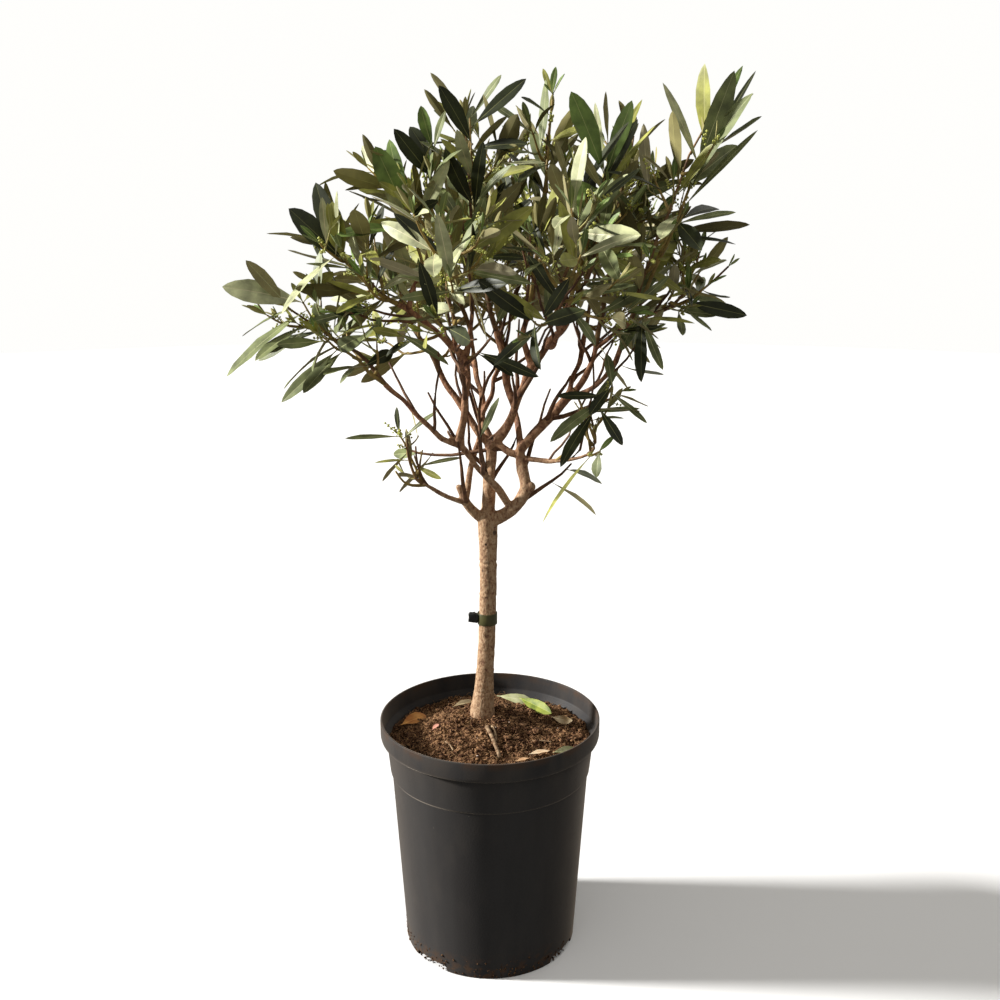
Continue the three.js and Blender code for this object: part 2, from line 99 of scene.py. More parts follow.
class Seeded:
    """A repeatable run of numbers, the same one that the frame's solids were grown with."""

    apart = 7919
    factor = 1664525
    addend = 1013904223
    size = 4294967296
    warm_up = 3

    def __init__(self, seed: int) -> None:
        """Starts the run.

        Args:
            seed: names the run.
        """
        self.state = seed * self.apart
        for _ in range(self.warm_up):
            self.next()

    def next(self) -> float:
        """Returns the next number, from 0 to 1."""
        self.state = (self.state * self.factor + self.addend) % self.size
        return self.state / self.size

    def between(self, low: float, high: float) -> float:
        """Returns the next number, from low to high."""
        return low + (high - low) * self.next()


@dataclass(frozen=True)
class Bow:
    """A quadratic curve, the line of a limb, a stem or a shoot."""

    start: Vector
    control: Vector
    end: Vector

    @classmethod
    def between(cls, start: Vector, end: Vector, bow: Vector) -> "Bow":
        """Returns the curve whose middle stands off the straight line by bow."""
        return cls(start, (start + end) / 2 + 2 * bow, end)

    def point(self, at: float) -> Vector:
        """Returns the point at a share of the curve."""
        rest = 1 - at
        return self.start * (rest * rest) + self.control * (2 * rest * at) + self.end * (at * at)

    def tangent(self, at: float) -> Vector:
        """Returns the unit direction at a share of the curve."""
        return ((self.control - self.start) * (1 - at) + (self.end - self.control) * at).normalized()

    def run_point(self, at: float, steps: int) -> Vector:
        """Returns the point at a share of the curve's straight runs, of which it has some steps."""
        run = min(steps - 1, math.floor(at * steps))
        return self.point(run / steps).lerp(self.point((run + 1) / steps), at * steps - run)

    def length(self) -> float:
        """Returns the straight length."""
        return (self.end - self.start).length


def once(items: Iterable) -> list:
    """Returns the items in their own order, each of them once."""
    return list(dict.fromkeys(items))


def square_to(direction: Vector) -> tuple[Vector, Vector]:
    """Returns a unit vector square to a direction, and the one square to both."""
    up = Vector((0, 0, 1)) if abs(direction.z) < 0.9 else Vector((1, 0, 0))
    first = direction.cross(up).normalized()
    return first, direction.cross(first)


def swung(direction: Vector, lean: float, turn: float) -> Vector:
    """Returns a direction leant away from its own line.

    Args:
        direction: the unit direction to start from.
        lean: the angle away from it.
        turn: the angle round it.

    Returns:
        The new unit direction.
    """
    first, second = square_to(direction)
    side = first * math.cos(turn) + second * math.sin(turn)
    return (direction * math.cos(lean) + side * math.sin(lean)).normalized()


def wandered(place: Vector) -> Vector:
    """Returns a place of the plant, shifted a little so that straight wood turns crooked.

    The shift starts above the clear stem, and what lies close together shifts together.
    """
    share = min(1.0, max(0.0, (place.z - CROOKED_FROM) / CROOKED_RISE))
    if share == 0:
        return place.copy()
    wave = place / CROOK_LENGTH
    shift = Vector([noise.noise(wave + Vector(side)) for side in CROOK_SIDES])
    return place + shift * (CROOK * share)


@dataclass(frozen=True)
class Sight:
    """A place by where it shows in the camera's frame, and its depth.

    Attributes:
        across: how far it shows from the frame's left side, in thousandths of the frame.
        down: how far it shows from the top.
        depth: its Y.
    """

    across: float
    down: float
    depth: float


@dataclass(frozen=True)
class View:
    """Where the camera stands, how far it looks down in degrees, and its lens."""

    eye: Point = (9.6, -1000, 684)
    pitch: float = 13.6
    lens: float = 40.39
    film: float = 36

    def place(self, sight: Sight) -> Vector:
        """Returns the place that shows at a point of the frame, at its depth."""
        reach = 1000 * self.lens / self.film
        across, up = (sight.across - 500) / reach, (500 - sight.down) / reach
        down = math.radians(self.pitch)
        ray = Vector((across, math.cos(down) + up * math.sin(down), up * math.cos(down) - math.sin(down)))
        return Vector(self.eye) + ray * ((sight.depth - self.eye[1]) / ray.y)


VIEW = View()


def linear(shade: Hex) -> tuple[float, float, float, float]:
    """Returns a web colour such as "#8a6a50" as the linear colour that a shader takes."""
    parts = [int(shade[i : i + 2], 16) / 255 for i in (1, 3, 5)]
    bent = [part / 12.92 if part <= 0.04045 else ((part + 0.055) / 1.055) ** 2.4 for part in parts]
    return (bent[0], bent[1], bent[2], 1.0)


def linked(name: str, data: bpy.types.ID) -> Piece:
    """Returns a new object in the scene for a mesh, a light or a camera."""
    piece = bpy.data.objects.new(name, data)
    bpy.context.scene.collection.objects.link(piece)
    return piece


def settle(
    mesh: Mesh,
    name: str,
    materials: Sequence[Material],
    stands_for: Sequence[str] = (),
) -> Piece:
    """Puts a finished mesh in the scene as a piece of the plant.

    Args:
        mesh: the mesh, in metres.
        name: the piece's name.
        materials: the mesh's materials, in the order of its material numbers.
        stands_for: the frame's nodes that the piece replaces.

    Returns:
        The piece.
    """
    for material in materials:
        mesh.materials.append(material)
    mesh.name = name
    piece = linked(name, mesh)
    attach(piece, BODY)
    if stands_for:
        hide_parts(*stands_for)
    log.info("%s: %d faces", name, len(mesh.polygons))
    return piece


def mesh_of(shape: Shape, smooth: bool = True) -> Mesh:
    """Returns a bmesh in millimetres as a mesh in metres, and frees it."""
    bmesh.ops.scale(shape, vec=(MM, MM, MM), verts=shape.verts)
    for face in shape.faces:
        face.smooth = smooth
    mesh = bpy.data.meshes.new("shape")
    shape.to_mesh(mesh)
    shape.free()
    return mesh


def applied(piece: Piece) -> Mesh:
    """Returns the mesh of a scratch object with its modifiers applied, and removes the object."""
    graph = bpy.context.evaluated_depsgraph_get()
    mesh = bpy.data.meshes.new_from_object(piece.evaluated_get(graph))
    bpy.data.objects.remove(piece)
    return mesh


def spun(outline: Sequence[Pair], steps: int, closed: bool = False) -> Shape:
    """Returns an outline spun once round the upright axis.

    Args:
        outline: its points, as radius and height.
        steps: how many sides the spun shape has.
        closed: whether the last point joins the first.
    """
    shape = bmesh.new()
    verts = [shape.verts.new((radius, 0, height)) for radius, height in outline]
    after = verts[1:] + verts[:1] if closed else verts[1:]
    edges = [shape.edges.new(pair) for pair in zip(verts, after)]
    bmesh.ops.spin(
        shape, geom=verts + edges, cent=MIDDLE, axis=UPWARD, angle=math.tau, steps=steps, use_merge=True
    )
    bmesh.ops.remove_doubles(shape, verts=shape.verts, dist=0.01)
    bmesh.ops.recalc_face_normals(shape, faces=shape.faces)
    return shape


def bevelled(shape: Shape, edges: Sequence[Edge], offset: float, segments: int) -> list[Vert]:
    """Rounds some edges, and returns the points that this makes."""
    made = bmesh.ops.bevel(
        shape,
        geom=edges,
        offset=offset,
        offset_type="OFFSET",
        affect="EDGES",
        segments=segments,
        profile=0.5,
        material=-1,
    )
    return made["verts"]


def add_block(
    shape: Shape,
    size: Point,
    offset: float,
    segments: int,
    rounded: Callable[[Edge], bool] = lambda edge: True,
) -> list[Vert]:
    """Adds a block in the middle, with rounded edges, and returns its points.

    Args:
        shape: the bmesh that holds it.
        size: its size.
        offset: the width of the rounding.
        segments: how many steps the rounding has.
        rounded: says whether an edge is rounded; all are where it is left out.
    """
    block = bmesh.ops.create_cube(shape, size=1)["verts"]
    bmesh.ops.scale(shape, vec=size, verts=block)
    edges = once(edge for vert in block for edge in vert.link_edges)
    made = bevelled(shape, [edge for edge in edges if rounded(edge)], offset, segments)
    return once([vert for vert in block if vert.is_valid] + made)


@dataclass
class Template:
    """A small shape that is repeated many times in one joined mesh.

    Attributes:
        faces: the corners of each face.
        materials: the material number of each face.
        sharp: groups of points; an edge between two points of one group is sharp.
    """

    faces: list[tuple[int, ...]]
    materials: list[int]
    sharp: list[tuple[int, ...]] = field(default_factory=list)

    def joined(self, points: np.ndarray, smooth: bool = True) -> Mesh:
        """Returns one mesh of all the copies.

        Args:
            points: the places, as copies by points by three, in millimetres.
            smooth: whether the faces are shaded smooth.
        """
        copies, count = points.shape[:2]
        mesh = bpy.data.meshes.new("copies")
        corners = np.array([corner for face in self.faces for corner in face])
        sizes = np.array([len(face) for face in self.faces])
        every = (corners[None, :] + np.arange(copies)[:, None] * count).ravel()
        totals = np.tile(sizes, copies)
        mesh.vertices.add(copies * count)
        mesh.vertices.foreach_set("co", (points.reshape(-1) * MM).astype(np.float32))
        mesh.loops.add(len(every))
        mesh.loops.foreach_set("vertex_index", every.astype(np.int32))
        mesh.polygons.add(len(totals))
        starts = np.concatenate([[0], np.cumsum(totals)[:-1]])
        mesh.polygons.foreach_set("loop_start", starts.astype(np.int32))
        mesh.polygons.foreach_set("material_index", np.tile(self.materials, copies).astype(np.int32))
        mesh.update(calc_edges=True)
        mesh.validate()
        mesh.polygons.foreach_set("use_smooth", np.full(len(mesh.polygons), smooth))
        if self.sharp:
            ends = np.empty(len(mesh.edges) * 2, dtype=np.int32)
            mesh.edges.foreach_get("vertices", ends)
            ends = ends.reshape(-1, 2) % count
            sharp = np.zeros(len(ends), dtype=bool)
            for group in self.sharp:
                sharp |= np.isin(ends, group).all(axis=1)
            mesh.edges.foreach_set("use_edge_sharp", sharp)
        return mesh


# ---- finishes ----


def preset(node: bpy.types.Node, settings: dict[str, float | Sequence[float]]) -> bpy.types.Node:
    """Sets some inputs of a node by their names, and returns it."""
    for name, value in settings.items():
        node.inputs[name].default_value = value
    return node


class Shader:
    """The nodes of one material, with short ways to add and join them.

    Attributes:
        mix_inputs: the numbers of the colour inputs of a mix node, whose names are used more than once.
        mix_output: the number of its colour output.
    """

    mix_inputs = (6, 7)
    mix_output = 2

    def __init__(self, name: str, roughness: float, specular: float = 0.5) -> None:
        """Starts a material.

        Args:
            name: the material's name.
            roughness: the surface's roughness.
            specular: the strength of its plain reflection.
        """
        self.material = bpy.data.materials.new(name)
        self.material.use_nodes = True
        self.tree = self.material.node_tree
        self.surface = self.tree.nodes["Principled BSDF"]
        preset(self.surface, {"Roughness": roughness, "Specular IOR Level": specular})
        self.places = self.add("TexCoord", {}).outputs["Object"]

    def add(self, kind: str, settings: dict[str, float | Point]) -> bpy.types.Node:
        """Returns a new node of a kind, with some of its inputs set."""
        return preset(self.tree.nodes.new(f"ShaderNode{kind}"), settings)

    def join(self, source: Socket, target: Socket) -> None:
        """Joins two sockets."""
        self.tree.links.new(source, target)

    def mapped(self, stretch: Point) -> Socket:
        """Returns the piece's own places, stretched."""
        node = self.add("Mapping", {"Scale": stretch})
        self.join(self.places, node.inputs["Vector"])
        return node.outputs["Vector"]

    def noise(self, scale: float, detail: float = 4, stretch: Point = EVEN, twist: float = 0) -> Socket:
        """Returns a noise value from 0 to 1.

        Args:
            scale: how fine it is, in waves to the metre.
            detail: how many finer layers it has.
            stretch: how the places are stretched first.
            twist: its distortion.
        """
        node = self.add("TexNoise", {"Scale": scale, "Detail": detail, "Distortion": twist})
        self.join(self.mapped(stretch), node.inputs["Vector"])
        return node.outputs["Fac"]

    def cells(self, scale: float, stretch: Point = EVEN) -> Socket:
        """Returns the distance to the nearest of many scattered points."""
        node = self.add("TexVoronoi", {"Scale": scale})
        self.join(self.mapped(stretch), node.inputs["Vector"])
        return node.outputs["Distance"]

    def ramp(self, value: Socket, stops: Sequence[tuple[float, Hex]]) -> Socket:
        """Returns a colour that runs through the stops as the value grows."""
        node = self.add("ValToRGB", {})
        band = node.color_ramp
        while len(band.elements) < len(stops):
            band.elements.new(0.5)
        for element, (place, shade) in zip(band.elements, stops):
            element.position = place
            element.color = linear(shade)
        self.join(value, node.inputs["Fac"])
        return node.outputs["Color"]

    def mask(self, value: Socket, low: float, high: float) -> Socket:
        """Returns 0 below low, 1 above high and a smooth rise between."""
        node = self.add("MapRange", {"From Min": low, "From Max": high})
        node.interpolation_type = "SMOOTHSTEP"
        self.join(value, node.inputs["Value"])
        return node.outputs["Result"]

    def mixed(self, share: Socket, first: Shade, second: Shade) -> Socket:
        """Returns a colour between two others.

        Args:
            share: how much of the second there is.
            first: the first colour, a socket or a web colour.
            second: the second colour.
        """
        node = self.add("Mix", {})
        node.data_type = "RGBA"
        self.join(share, node.inputs["Factor"])
        for place, shade in zip(self.mix_inputs, (first, second)):
            if isinstance(shade, str):
                node.inputs[place].default_value = linear(shade)
            else:
                self.join(shade, node.inputs[place])
        return node.outputs[self.mix_output]

    def worked(self, kind: str, first: Value, second: Value) -> Socket:
        """Returns a sum, product or other work of two values."""
        node = self.add("Math", {})
        node.operation = kind
        for place, value in enumerate((first, second)):
            if isinstance(value, (int, float)):
                node.inputs[place].default_value = value
            else:
                self.join(value, node.inputs[place])
        return node.outputs["Value"]

    def times(self, first: Value, second: Value) -> Socket:
        """Returns the product of two values."""
        return self.worked("MULTIPLY", first, second)

    def plus(self, first: Value, second: Value) -> Socket:
        """Returns the sum of two values."""
        return self.worked("ADD", first, second)

    def rest(self, value: Value) -> Socket:
        """Returns what a value leaves of 1."""
        return self.worked("SUBTRACT", 1, value)

    def height(self) -> Socket:
        """Returns the height above the underside, in metres."""
        node = self.add("SeparateXYZ", {})
        self.join(self.places, node.inputs["Vector"])
        return node.outputs["Z"]

    def spot(self, centre: Vector, radius: float) -> Socket:
        """Returns 1 at a place and 0 outside a ragged radius round it."""
        node = self.add("VectorMath", {})
        node.operation = "DISTANCE"
        self.join(self.places, node.inputs[0])
        node.inputs[1].default_value = centre
        ragged = self.times(self.worked("SUBTRACT", self.noise(420, 3), 0.5), radius)
        far = self.plus(node.outputs["Value"], ragged)
        return self.rest(self.mask(far, radius * 0.6, radius))

    def colour(self, source: Shade) -> None:
        """Sets the surface's colour."""
        if isinstance(source, str):
            self.surface.inputs["Base Color"].default_value = linear(source)
        else:
            self.join(source, self.surface.inputs["Base Color"])

    def rough(self, value: Socket, low: float, high: float) -> None:
        """Lets the roughness run from low to high with a value."""
        node = self.add("MapRange", {"To Min": low, "To Max": high})
        self.join(value, node.inputs["Value"])
        self.join(node.outputs["Result"], self.surface.inputs["Roughness"])

    def bump(self, value: Socket, depth: float, strength: float = 1) -> None:
        """Raises the surface by a value, depth metres at most."""
        node = self.add("Bump", {"Distance": depth, "Strength": strength})
        self.join(value, node.inputs["Height"])
        self.join(node.outputs["Normal"], self.surface.inputs["Normal"])


@dataclass(frozen=True)
class PotPlastic:
    """Black nursery plastic: matt, scuffed, dusted with dry soil toward its foot."""

    dark: Hex = "#262628"
    light: Hex = "#323233"
    dust: Hex = "#403c39"
    film: Hex = "#f8e6d2"
    soil: Hex = "#4a3525"
    dust_high: Hex = "#4d453d"
    lip: Pair = (0.2215, 0.2285)
    roughness: float = 0.5

    def make(self) -> Material:
        """Returns the material."""
        shader = Shader("pot_plastic", self.roughness, 0.12)
        tint = linear(self.film)
        preset(shader.surface, {"Sheen Weight": 0.4, "Sheen Roughness": 0.37, "Sheen Tint": tint})
        streaks = shader.noise(9, 5, (3, 3, 0.5))
        body = shader.ramp(streaks, [(0.3, self.dark), (0.7, self.light)])
        film = shader.times(shader.mask(shader.noise(46, 9, (1, 1, 0.5)), 0.46, 0.8), 0.3)
        dusted = shader.mixed(film, body, self.dust)
        settled = shader.times(shader.mask(shader.height(), 0.18, 0.235), 0.4)
        high = shader.times(settled, shader.mask(shader.noise(60, 8, (1, 1, 0.4)), 0.3, 0.7))
        dusted = shader.mixed(high, dusted, self.dust_high)
        edge = shader.mask(shader.height(), *self.lip)
        worn = shader.times(edge, shader.mask(shader.noise(75, 8, (1, 1, 0.6)), 0.36, 0.7))
        dusty = shader.mixed(shader.times(worn, 0.6), dusted, self.soil)
        low = shader.rest(shader.mask(shader.height(), 0.0, 0.03))
        patches = shader.mask(shader.noise(130, 9, twist=0.4), 0.44, 0.66)
        dirty = shader.mixed(shader.times(low, patches), dusty, self.soil)
        grit = shader.rest(shader.mask(shader.cells(260), 0.03, 0.06))
        rare = shader.mask(shader.noise(24, 2), 0.62, 0.66)
        shader.colour(shader.mixed(shader.times(grit, rare), dirty, "#b9ad9c"))
        shader.rough(shader.noise(40, 6), 0.38, 0.72)
        shader.bump(shader.noise(900, 3), 0.00018, 0.6)
        return shader.material


@dataclass(frozen=True)
class Earth:
    """Fibrous brown potting soil with dry and damp patches."""

    damp: Hex = "#140905"
    brown: Hex = "#422718"
    dry: Hex = "#ad8660"

    def make(self, name: str = "potting_soil") -> Material:
        """Returns the material."""
        shader = Shader(name, 0.95, 0.15)
        grain = shader.noise(560, 9, twist=0.9)
        blend = shader.plus(grain, shader.times(shader.noise(30, 3), 0.35))
        stops = [(0.47, self.damp), (0.64, self.brown), (0.84, self.dry)]
        shader.colour(shader.ramp(blend, stops))
        shader.bump(grain, 0.0018, 1.0)
        return shader.material


# Where the pruning scars are and how wide: the wood sinks a hollow at each, and the bark paints it
# near-black, partly as painted shade.
SCARS = (
    (Sight(496, 533, 13), 3.4),
    (Sight(491, 438, 13), 3.6),
    (Sight(482, 571, 12), 1.9),
    (Sight(486, 545, 11), 1.5),
)
# The height and depth of the scars that run round the stem.
RING_SCARS = (
    (247, -0.35), (268, 0.4), (289, -0.3), (345, 0.35),
    (362, -0.35), (374, 0.5), (377, -0.55), (402, 0.3),
)


@dataclass(frozen=True)
class Bark:
    """Smooth young bark: tan and mottled on the stem, a darker red brown on the limbs above the fork."""

    tan: Hex = "#a58464"
    brown: Hex = "#73523d"
    grey: Hex = "#bb9f80"
    upper: Hex = "#643e2c"
    upper_light: Hex = "#b28360"
    # The near-black of the bark's seams and of the pruning scars; on the scars it is partly painted shade.
    scar: Hex = "#2a1a12"
    fork: Pair = (0.42, 0.57)

    def make(self) -> Material:
        """Returns the material."""
        shader = Shader("bark", 0.78, 0.3)
        mottle = shader.noise(250, 9, (1, 1, 0.7), 0.6)
        flecks = shader.noise(620, 6, (1, 1, 0.6), 0.3)
        speckled = shader.plus(shader.times(mottle, 0.5), shader.times(flecks, 0.5))
        stem = shader.ramp(speckled, [(0.38, self.brown), (0.49, self.tan), (0.6, self.grey)])
        limb = shader.ramp(mottle, [(0.34, self.upper), (0.68, self.upper_light)])
        shift = shader.times(shader.worked("SUBTRACT", shader.noise(22, 4), 0.5), 0.16)
        rise = shader.mask(shader.plus(shader.height(), shift), *self.fork)
        wood = shader.mixed(rise, stem, limb)
        pores = shader.rest(shader.mask(shader.cells(230, (1, 1, 2.2)), 0.12, 0.3))
        marked = shader.mixed(shader.times(pores, 0.55), wood, self.upper)
        seams = shader.mask(shader.noise(95, 10, (2.2, 2.2, 0.35), 1.2), 0.61, 0.7)
        barked = shader.mixed(shader.times(seams, 0.35), marked, self.scar)
        # The pruning scars are painted near-black: partly the dark wood of the old cuts, partly painted
        # shade in their hollows.
        for sight, radius in SCARS:
            spot = shader.spot(VIEW.place(sight) * MM, radius * MM)
            barked = shader.mixed(shader.times(spot, 0.85), barked, self.scar)
        shader.colour(barked)
        shader.rough(mottle, 0.62, 0.92)
        shader.bump(shader.plus(mottle, flecks), 0.0008, 0.8)
        return shader.material


@dataclass(frozen=True)
class Plain:
    """A small plain surface with a slight mottle: a twig, a bud, a chip or a fallen leaf."""

    name: str
    shade: Hex
    mottle: Hex
    scale: float = 160
    roughness: float = 0.6
    specular: float = 0.4
    depth: float = 0.0002

    def make(self) -> Material:
        """Returns the material."""
        shader = Shader(self.name, self.roughness, self.specular)
        value = shader.noise(self.scale, 5, twist=0.3)
        shader.colour(shader.ramp(value, [(0.35, self.shade), (0.68, self.mottle)]))
        shader.bump(shader.noise(self.scale * 3, 4), self.depth, 0.6)
        return shader.material


class Tone(Enum):
    """The tones of a spray of leaves: its upper side, underside and midrib."""

    DARK = ("dark", "#272c16", "#716a40", "#6b6c42")
    GREY = ("grey", "#636a45", "#a79f72", "#a8a97d")
    OLIVE = ("olive", "#7f803f", "#a69e67", "#a39e68")
    FRESH = ("fresh", "#5d7039", "#828f5a", "#9ba468")
    # Painted light: this pale cream tone stands in for the light that shines through some leaves and
    # glances off others.
    PALE = ("pale", "#9a9d78", "#c2ba96", "#c8c09b")

    def __init__(self, word: str, upper: Hex, under: Hex, rib: Hex) -> None:
        """Keeps a tone's colours."""
        self.word = word
        self.upper = upper
        self.under = under
        self.rib = rib

    def materials(self) -> list[Material]:
        """Returns the materials of a leaf's upper side, underside and midrib."""
        return [self.glossy(), self.felted(), self.ribbed()]

    def ribbed(self) -> Material:
        """Returns the pale midrib."""
        return Plain(f"leaf_{self.word}_rib", self.rib, lighter(self.rib, 1.15), 90, 0.5).make()

    def glossy(self) -> Material:
        """Returns the leathery, waxed upper side."""
        shader = Shader(f"leaf_{self.word}_upper", 0.5, 0.32)
        value = shader.noise(75, 8, twist=0.3)
        shade = shader.ramp(value, [(0.3, lighter(self.upper, 0.85)), (0.72, lighter(self.upper, 1.4))])
        shader.colour(shade)
        shader.rough(shader.noise(70, 3), 0.4, 0.6)
        shader.bump(shader.noise(520, 4), 0.0002, 0.35)
        return shader.material

    def felted(self) -> Material:
        """Returns the scaly, dull underside."""
        shader = Shader(f"leaf_{self.word}_under", 0.72, 0.2)
        value = shader.noise(60, 6, twist=0.2)
        shader.colour(shader.ramp(value, [(0.3, lighter(self.under, 0.8)), (0.72, self.under)]))
        preset(shader.surface, {"Sheen Weight": 0.06, "Sheen Roughness": 0.5})
        shader.bump(shader.noise(640, 3), 0.00015, 0.4)
        return shader.material


DARK, GREY, OLIVE, FRESH, PALE = Tone


def lighter(shade: Hex, times: float) -> Hex:
    """Returns a web colour that is so many times as light."""
    parts = [min(255, round(int(shade[i : i + 2], 16) * times)) for i in (1, 3, 5)]
    return "#" + "".join(f"{part:02x}" for part in parts)


# ---- pot ----


@dataclass
class Pot:
    """The black nursery pot: a tapering wall, a collar, a rolled rim band and four notches at its foot."""

    height: float = 230
    rim_radius: float = 105
    rim_band: float = 18
    collar_top: float = 99.5
    collar_foot: float = 96
    collar_band: float = 34
    body_top: float = 94.5
    foot_radius: float = 83
    wall: float = 2.2
    floor: float = 4
    notch: Point = (40, 9, 6)
    notch_clear: float = 16
    corner: float = 0.9
    notch_corner: float = 4
    crumbs: int = 220
    crumb_arc: Pair = (-110, 60)
    crumb_size: Pair = (0.4, 1.3)
    crumb_wobble: Pair = (0.4, 1.5)
    crumb_seed: int = 17
    notch_angles: tuple[float, ...] = (-43, 58, 140, 232)
    sides: int = 128
    node: str = "pot"

    @property
    def collar_height(self) -> float:
        """The height of the collar's lower step."""
        return self.height - self.rim_band - self.collar_band

    @property
    def rim_height(self) -> float:
        """The height of the rim band's foot."""
        return self.height - self.rim_band

    def body_radius(self, height: float) -> float:
        """Returns the radius of the tapering wall at a height."""
        return self.foot_radius + (self.body_top - self.foot_radius) * height / (self.collar_height - 1.5)

    def inside(self) -> list[Pair]:
        """Returns the inner wall's outline from the rim down, as radius and height."""
        return [
            (self.rim_radius - self.wall, self.height),
            (self.rim_radius - self.wall - 0.8, self.rim_height + 2),
            (self.collar_top - self.wall, self.rim_height - 3),
            (self.body_top - self.wall, self.collar_height - 3),
            (self.body_radius(self.notch_clear) - self.wall, self.notch_clear),
            (self.foot_radius - self.wall, self.floor),
        ]

    def outline(self) -> list[Pair]:
        """Returns the whole outline, from the middle of the underside round to the middle of the floor."""
        return [
            (0, 0),
            (self.foot_radius, 0),
            (self.body_radius(self.notch_clear), self.notch_clear),
            (self.body_top, self.collar_height - 1.5),
            (self.collar_foot, self.collar_height),
            (self.collar_top, self.rim_height - 1),
            (self.rim_radius - 0.8, self.rim_height),
            (self.rim_radius, self.rim_height + 3),
            (self.rim_radius, self.height),
            *self.inside(),
            (0, self.floor),
        ]

    def inner_radius(self, height: float) -> float:
        """Returns the radius inside the pot at a height."""
        for (r_high, z_high), (r_low, z_low) in zip(self.inside(), self.inside()[1:]):
            if z_low <= height <= z_high:
                return r_low + (r_high - r_low) * (height - z_low) / (z_high - z_low)
        return self.foot_radius - self.wall

    def turned(self) -> Shape:
        """Returns the outline spun into the pot, its corners rounded."""
        shape = spun(self.outline(), self.sides)
        corners = [edge for edge in shape.edges if self.is_corner(edge)]
        bevelled(shape, corners, self.corner, 3)
        return shape

    def is_corner(self, edge: Edge) -> bool:
        """Returns whether an edge runs round the pot at a corner of its outline."""
        if len(edge.link_faces) != 2 or abs(edge.verts[0].co.z - edge.verts[1].co.z) > 0.01:
            return False
        return edge.calc_face_angle() > math.radians(12) and edge.verts[0].co.xy.length > 1

    @staticmethod
    def is_notch_corner(edge: Edge) -> bool:
        """Returns whether an edge of a block runs inward along the top of its notch."""
        first, second = edge.verts[0].co, edge.verts[1].co
        return abs(first.z - second.z) < 0.1 and first.z > 0 and abs(first.y - second.y) > 1

    def cutter(self) -> Shape:
        """Returns the four blocks that cut the notches."""
        shape = bmesh.new()
        wide, deep, high = self.notch
        for angle in self.notch_angles:
            size = (wide, deep * 2, high * 2)
            verts = add_block(shape, size, self.notch_corner, 4, self.is_notch_corner)
            bmesh.ops.translate(shape, vec=(0, -self.foot_radius, 0), verts=verts)
            turn = Matrix.Rotation(math.radians(angle), 3, "Z")
            bmesh.ops.rotate(shape, cent=MIDDLE, matrix=turn, verts=verts)
        return shape

    def build(self) -> None:
        """Makes the pot."""
        body = linked("pot_body", mesh_of(self.turned()))
        tool = linked("pot_cutter", mesh_of(self.cutter(), smooth=False))
        cut = body.modifiers.new("notches", "BOOLEAN")
        cut.operation = "DIFFERENCE"
        cut.solver = "EXACT"
        cut.object = tool
        mesh = applied(body)
        bpy.data.objects.remove(tool)
        mesh.set_sharp_from_angle(angle=math.radians(40))
        settle(mesh, "nursery_pot", [PotPlastic().make()], [self.node])
        self.build_crumbs()

    def build_crumbs(self) -> None:
        """Makes the crumbs of earth that cling to the wall just above its foot."""
        random = Seeded(self.crumb_seed)
        every = []
        for _ in range(self.crumbs):
            turn = math.radians(random.between(*self.crumb_arc))
            height = 2 + self.notch_clear * random.next() ** 2
            radius = self.body_radius(height) - 0.2
            size = random.between(*self.crumb_size)
            lump = lumpy(random, self.crumb_wobble) * size
            centre = np.array([radius * math.sin(turn), -radius * math.cos(turn), height])
            every.append(lump + centre)
        earth = Earth(brown="#3a2517", dry="#84674c").make("clinging_earth")
        settle(LUMP.joined(np.array(every)), "foot_crumbs", [earth])


# ---- shapes that repeat ----


def lump_template() -> tuple[Template, np.ndarray]:
    """Returns the faces of a rough lump, and the places of its points on a unit ball."""
    ball = bmesh.new()
    bmesh.ops.create_icosphere(ball, subdivisions=1, radius=1)
    ball.verts.index_update()
    faces = [tuple(vert.index for vert in face.verts) for face in ball.faces]
    points = np.array([list(vert.co) for vert in ball.verts])
    ball.free()
    return Template(faces, [0] * len(faces)), points


LUMP, LUMP_POINTS = lump_template()


def lumpy(random: Seeded, wobble: Pair) -> np.ndarray:
    """Returns the places of a lump's points, each drawn in or out within the wobble."""
    return LUMP_POINTS * np.array([random.between(*wobble) for _ in LUMP_POINTS])[:, None]


@dataclass(frozen=True)
class Tube:
    """A tapering round twig along a curve."""

    line: Bow
    foot: float
    end: float

    def rings(self, sides: int, steps: int) -> np.ndarray:
        """Returns the places of the twig's points, ring by ring, with a point at its tip."""
        angles = np.arange(sides) / sides * math.tau
        every = []
        for step in range(steps + 1):
            at = step / steps
            first, second = square_to(self.line.tangent(at))
            radius = self.foot + (self.end - self.foot) * at
            ring = np.outer(np.cos(angles), first) + np.outer(np.sin(angles), second)
            every.append(np.array(wandered(self.line.point(at))) + radius * ring)
        tip = wandered(self.line.point(1)) + self.line.tangent(1) * self.end
        return np.concatenate(every + [np.array([tip])])

    @staticmethod
    def joined(tubes: Sequence["Tube"], sides: int, steps: int) -> Mesh:
        """Returns one mesh of many twigs.

        Args:
            tubes: the twigs.
            sides: how many sides each has.
            steps: how many stretches each has.
        """
        faces: list[tuple[int, ...]] = [tuple(reversed(range(sides)))]
        for step in range(steps):
            for side in range(sides):
                a, b = step * sides + side, step * sides + (side + 1) % sides
                faces.append((a, b, b + sides, a + sides))
        tip = (steps + 1) * sides
        last = steps * sides
        faces += [(last + side, last + (side + 1) % sides, tip) for side in range(sides)]
        template = Template(faces, [0] * len(faces))
        return template.joined(np.array([tube.rings(sides, steps) for tube in tubes]))


@dataclass
class Leaf:
    """One leaf: where it leaves its twig, how it lies and how large and bent it is."""

    root: Vector
    axis: Vector
    normal: Vector
    length: float
    width: float
    curl: float
    fold: float = 0.25
    twist: float = 0.0
    belly: float = 1.0


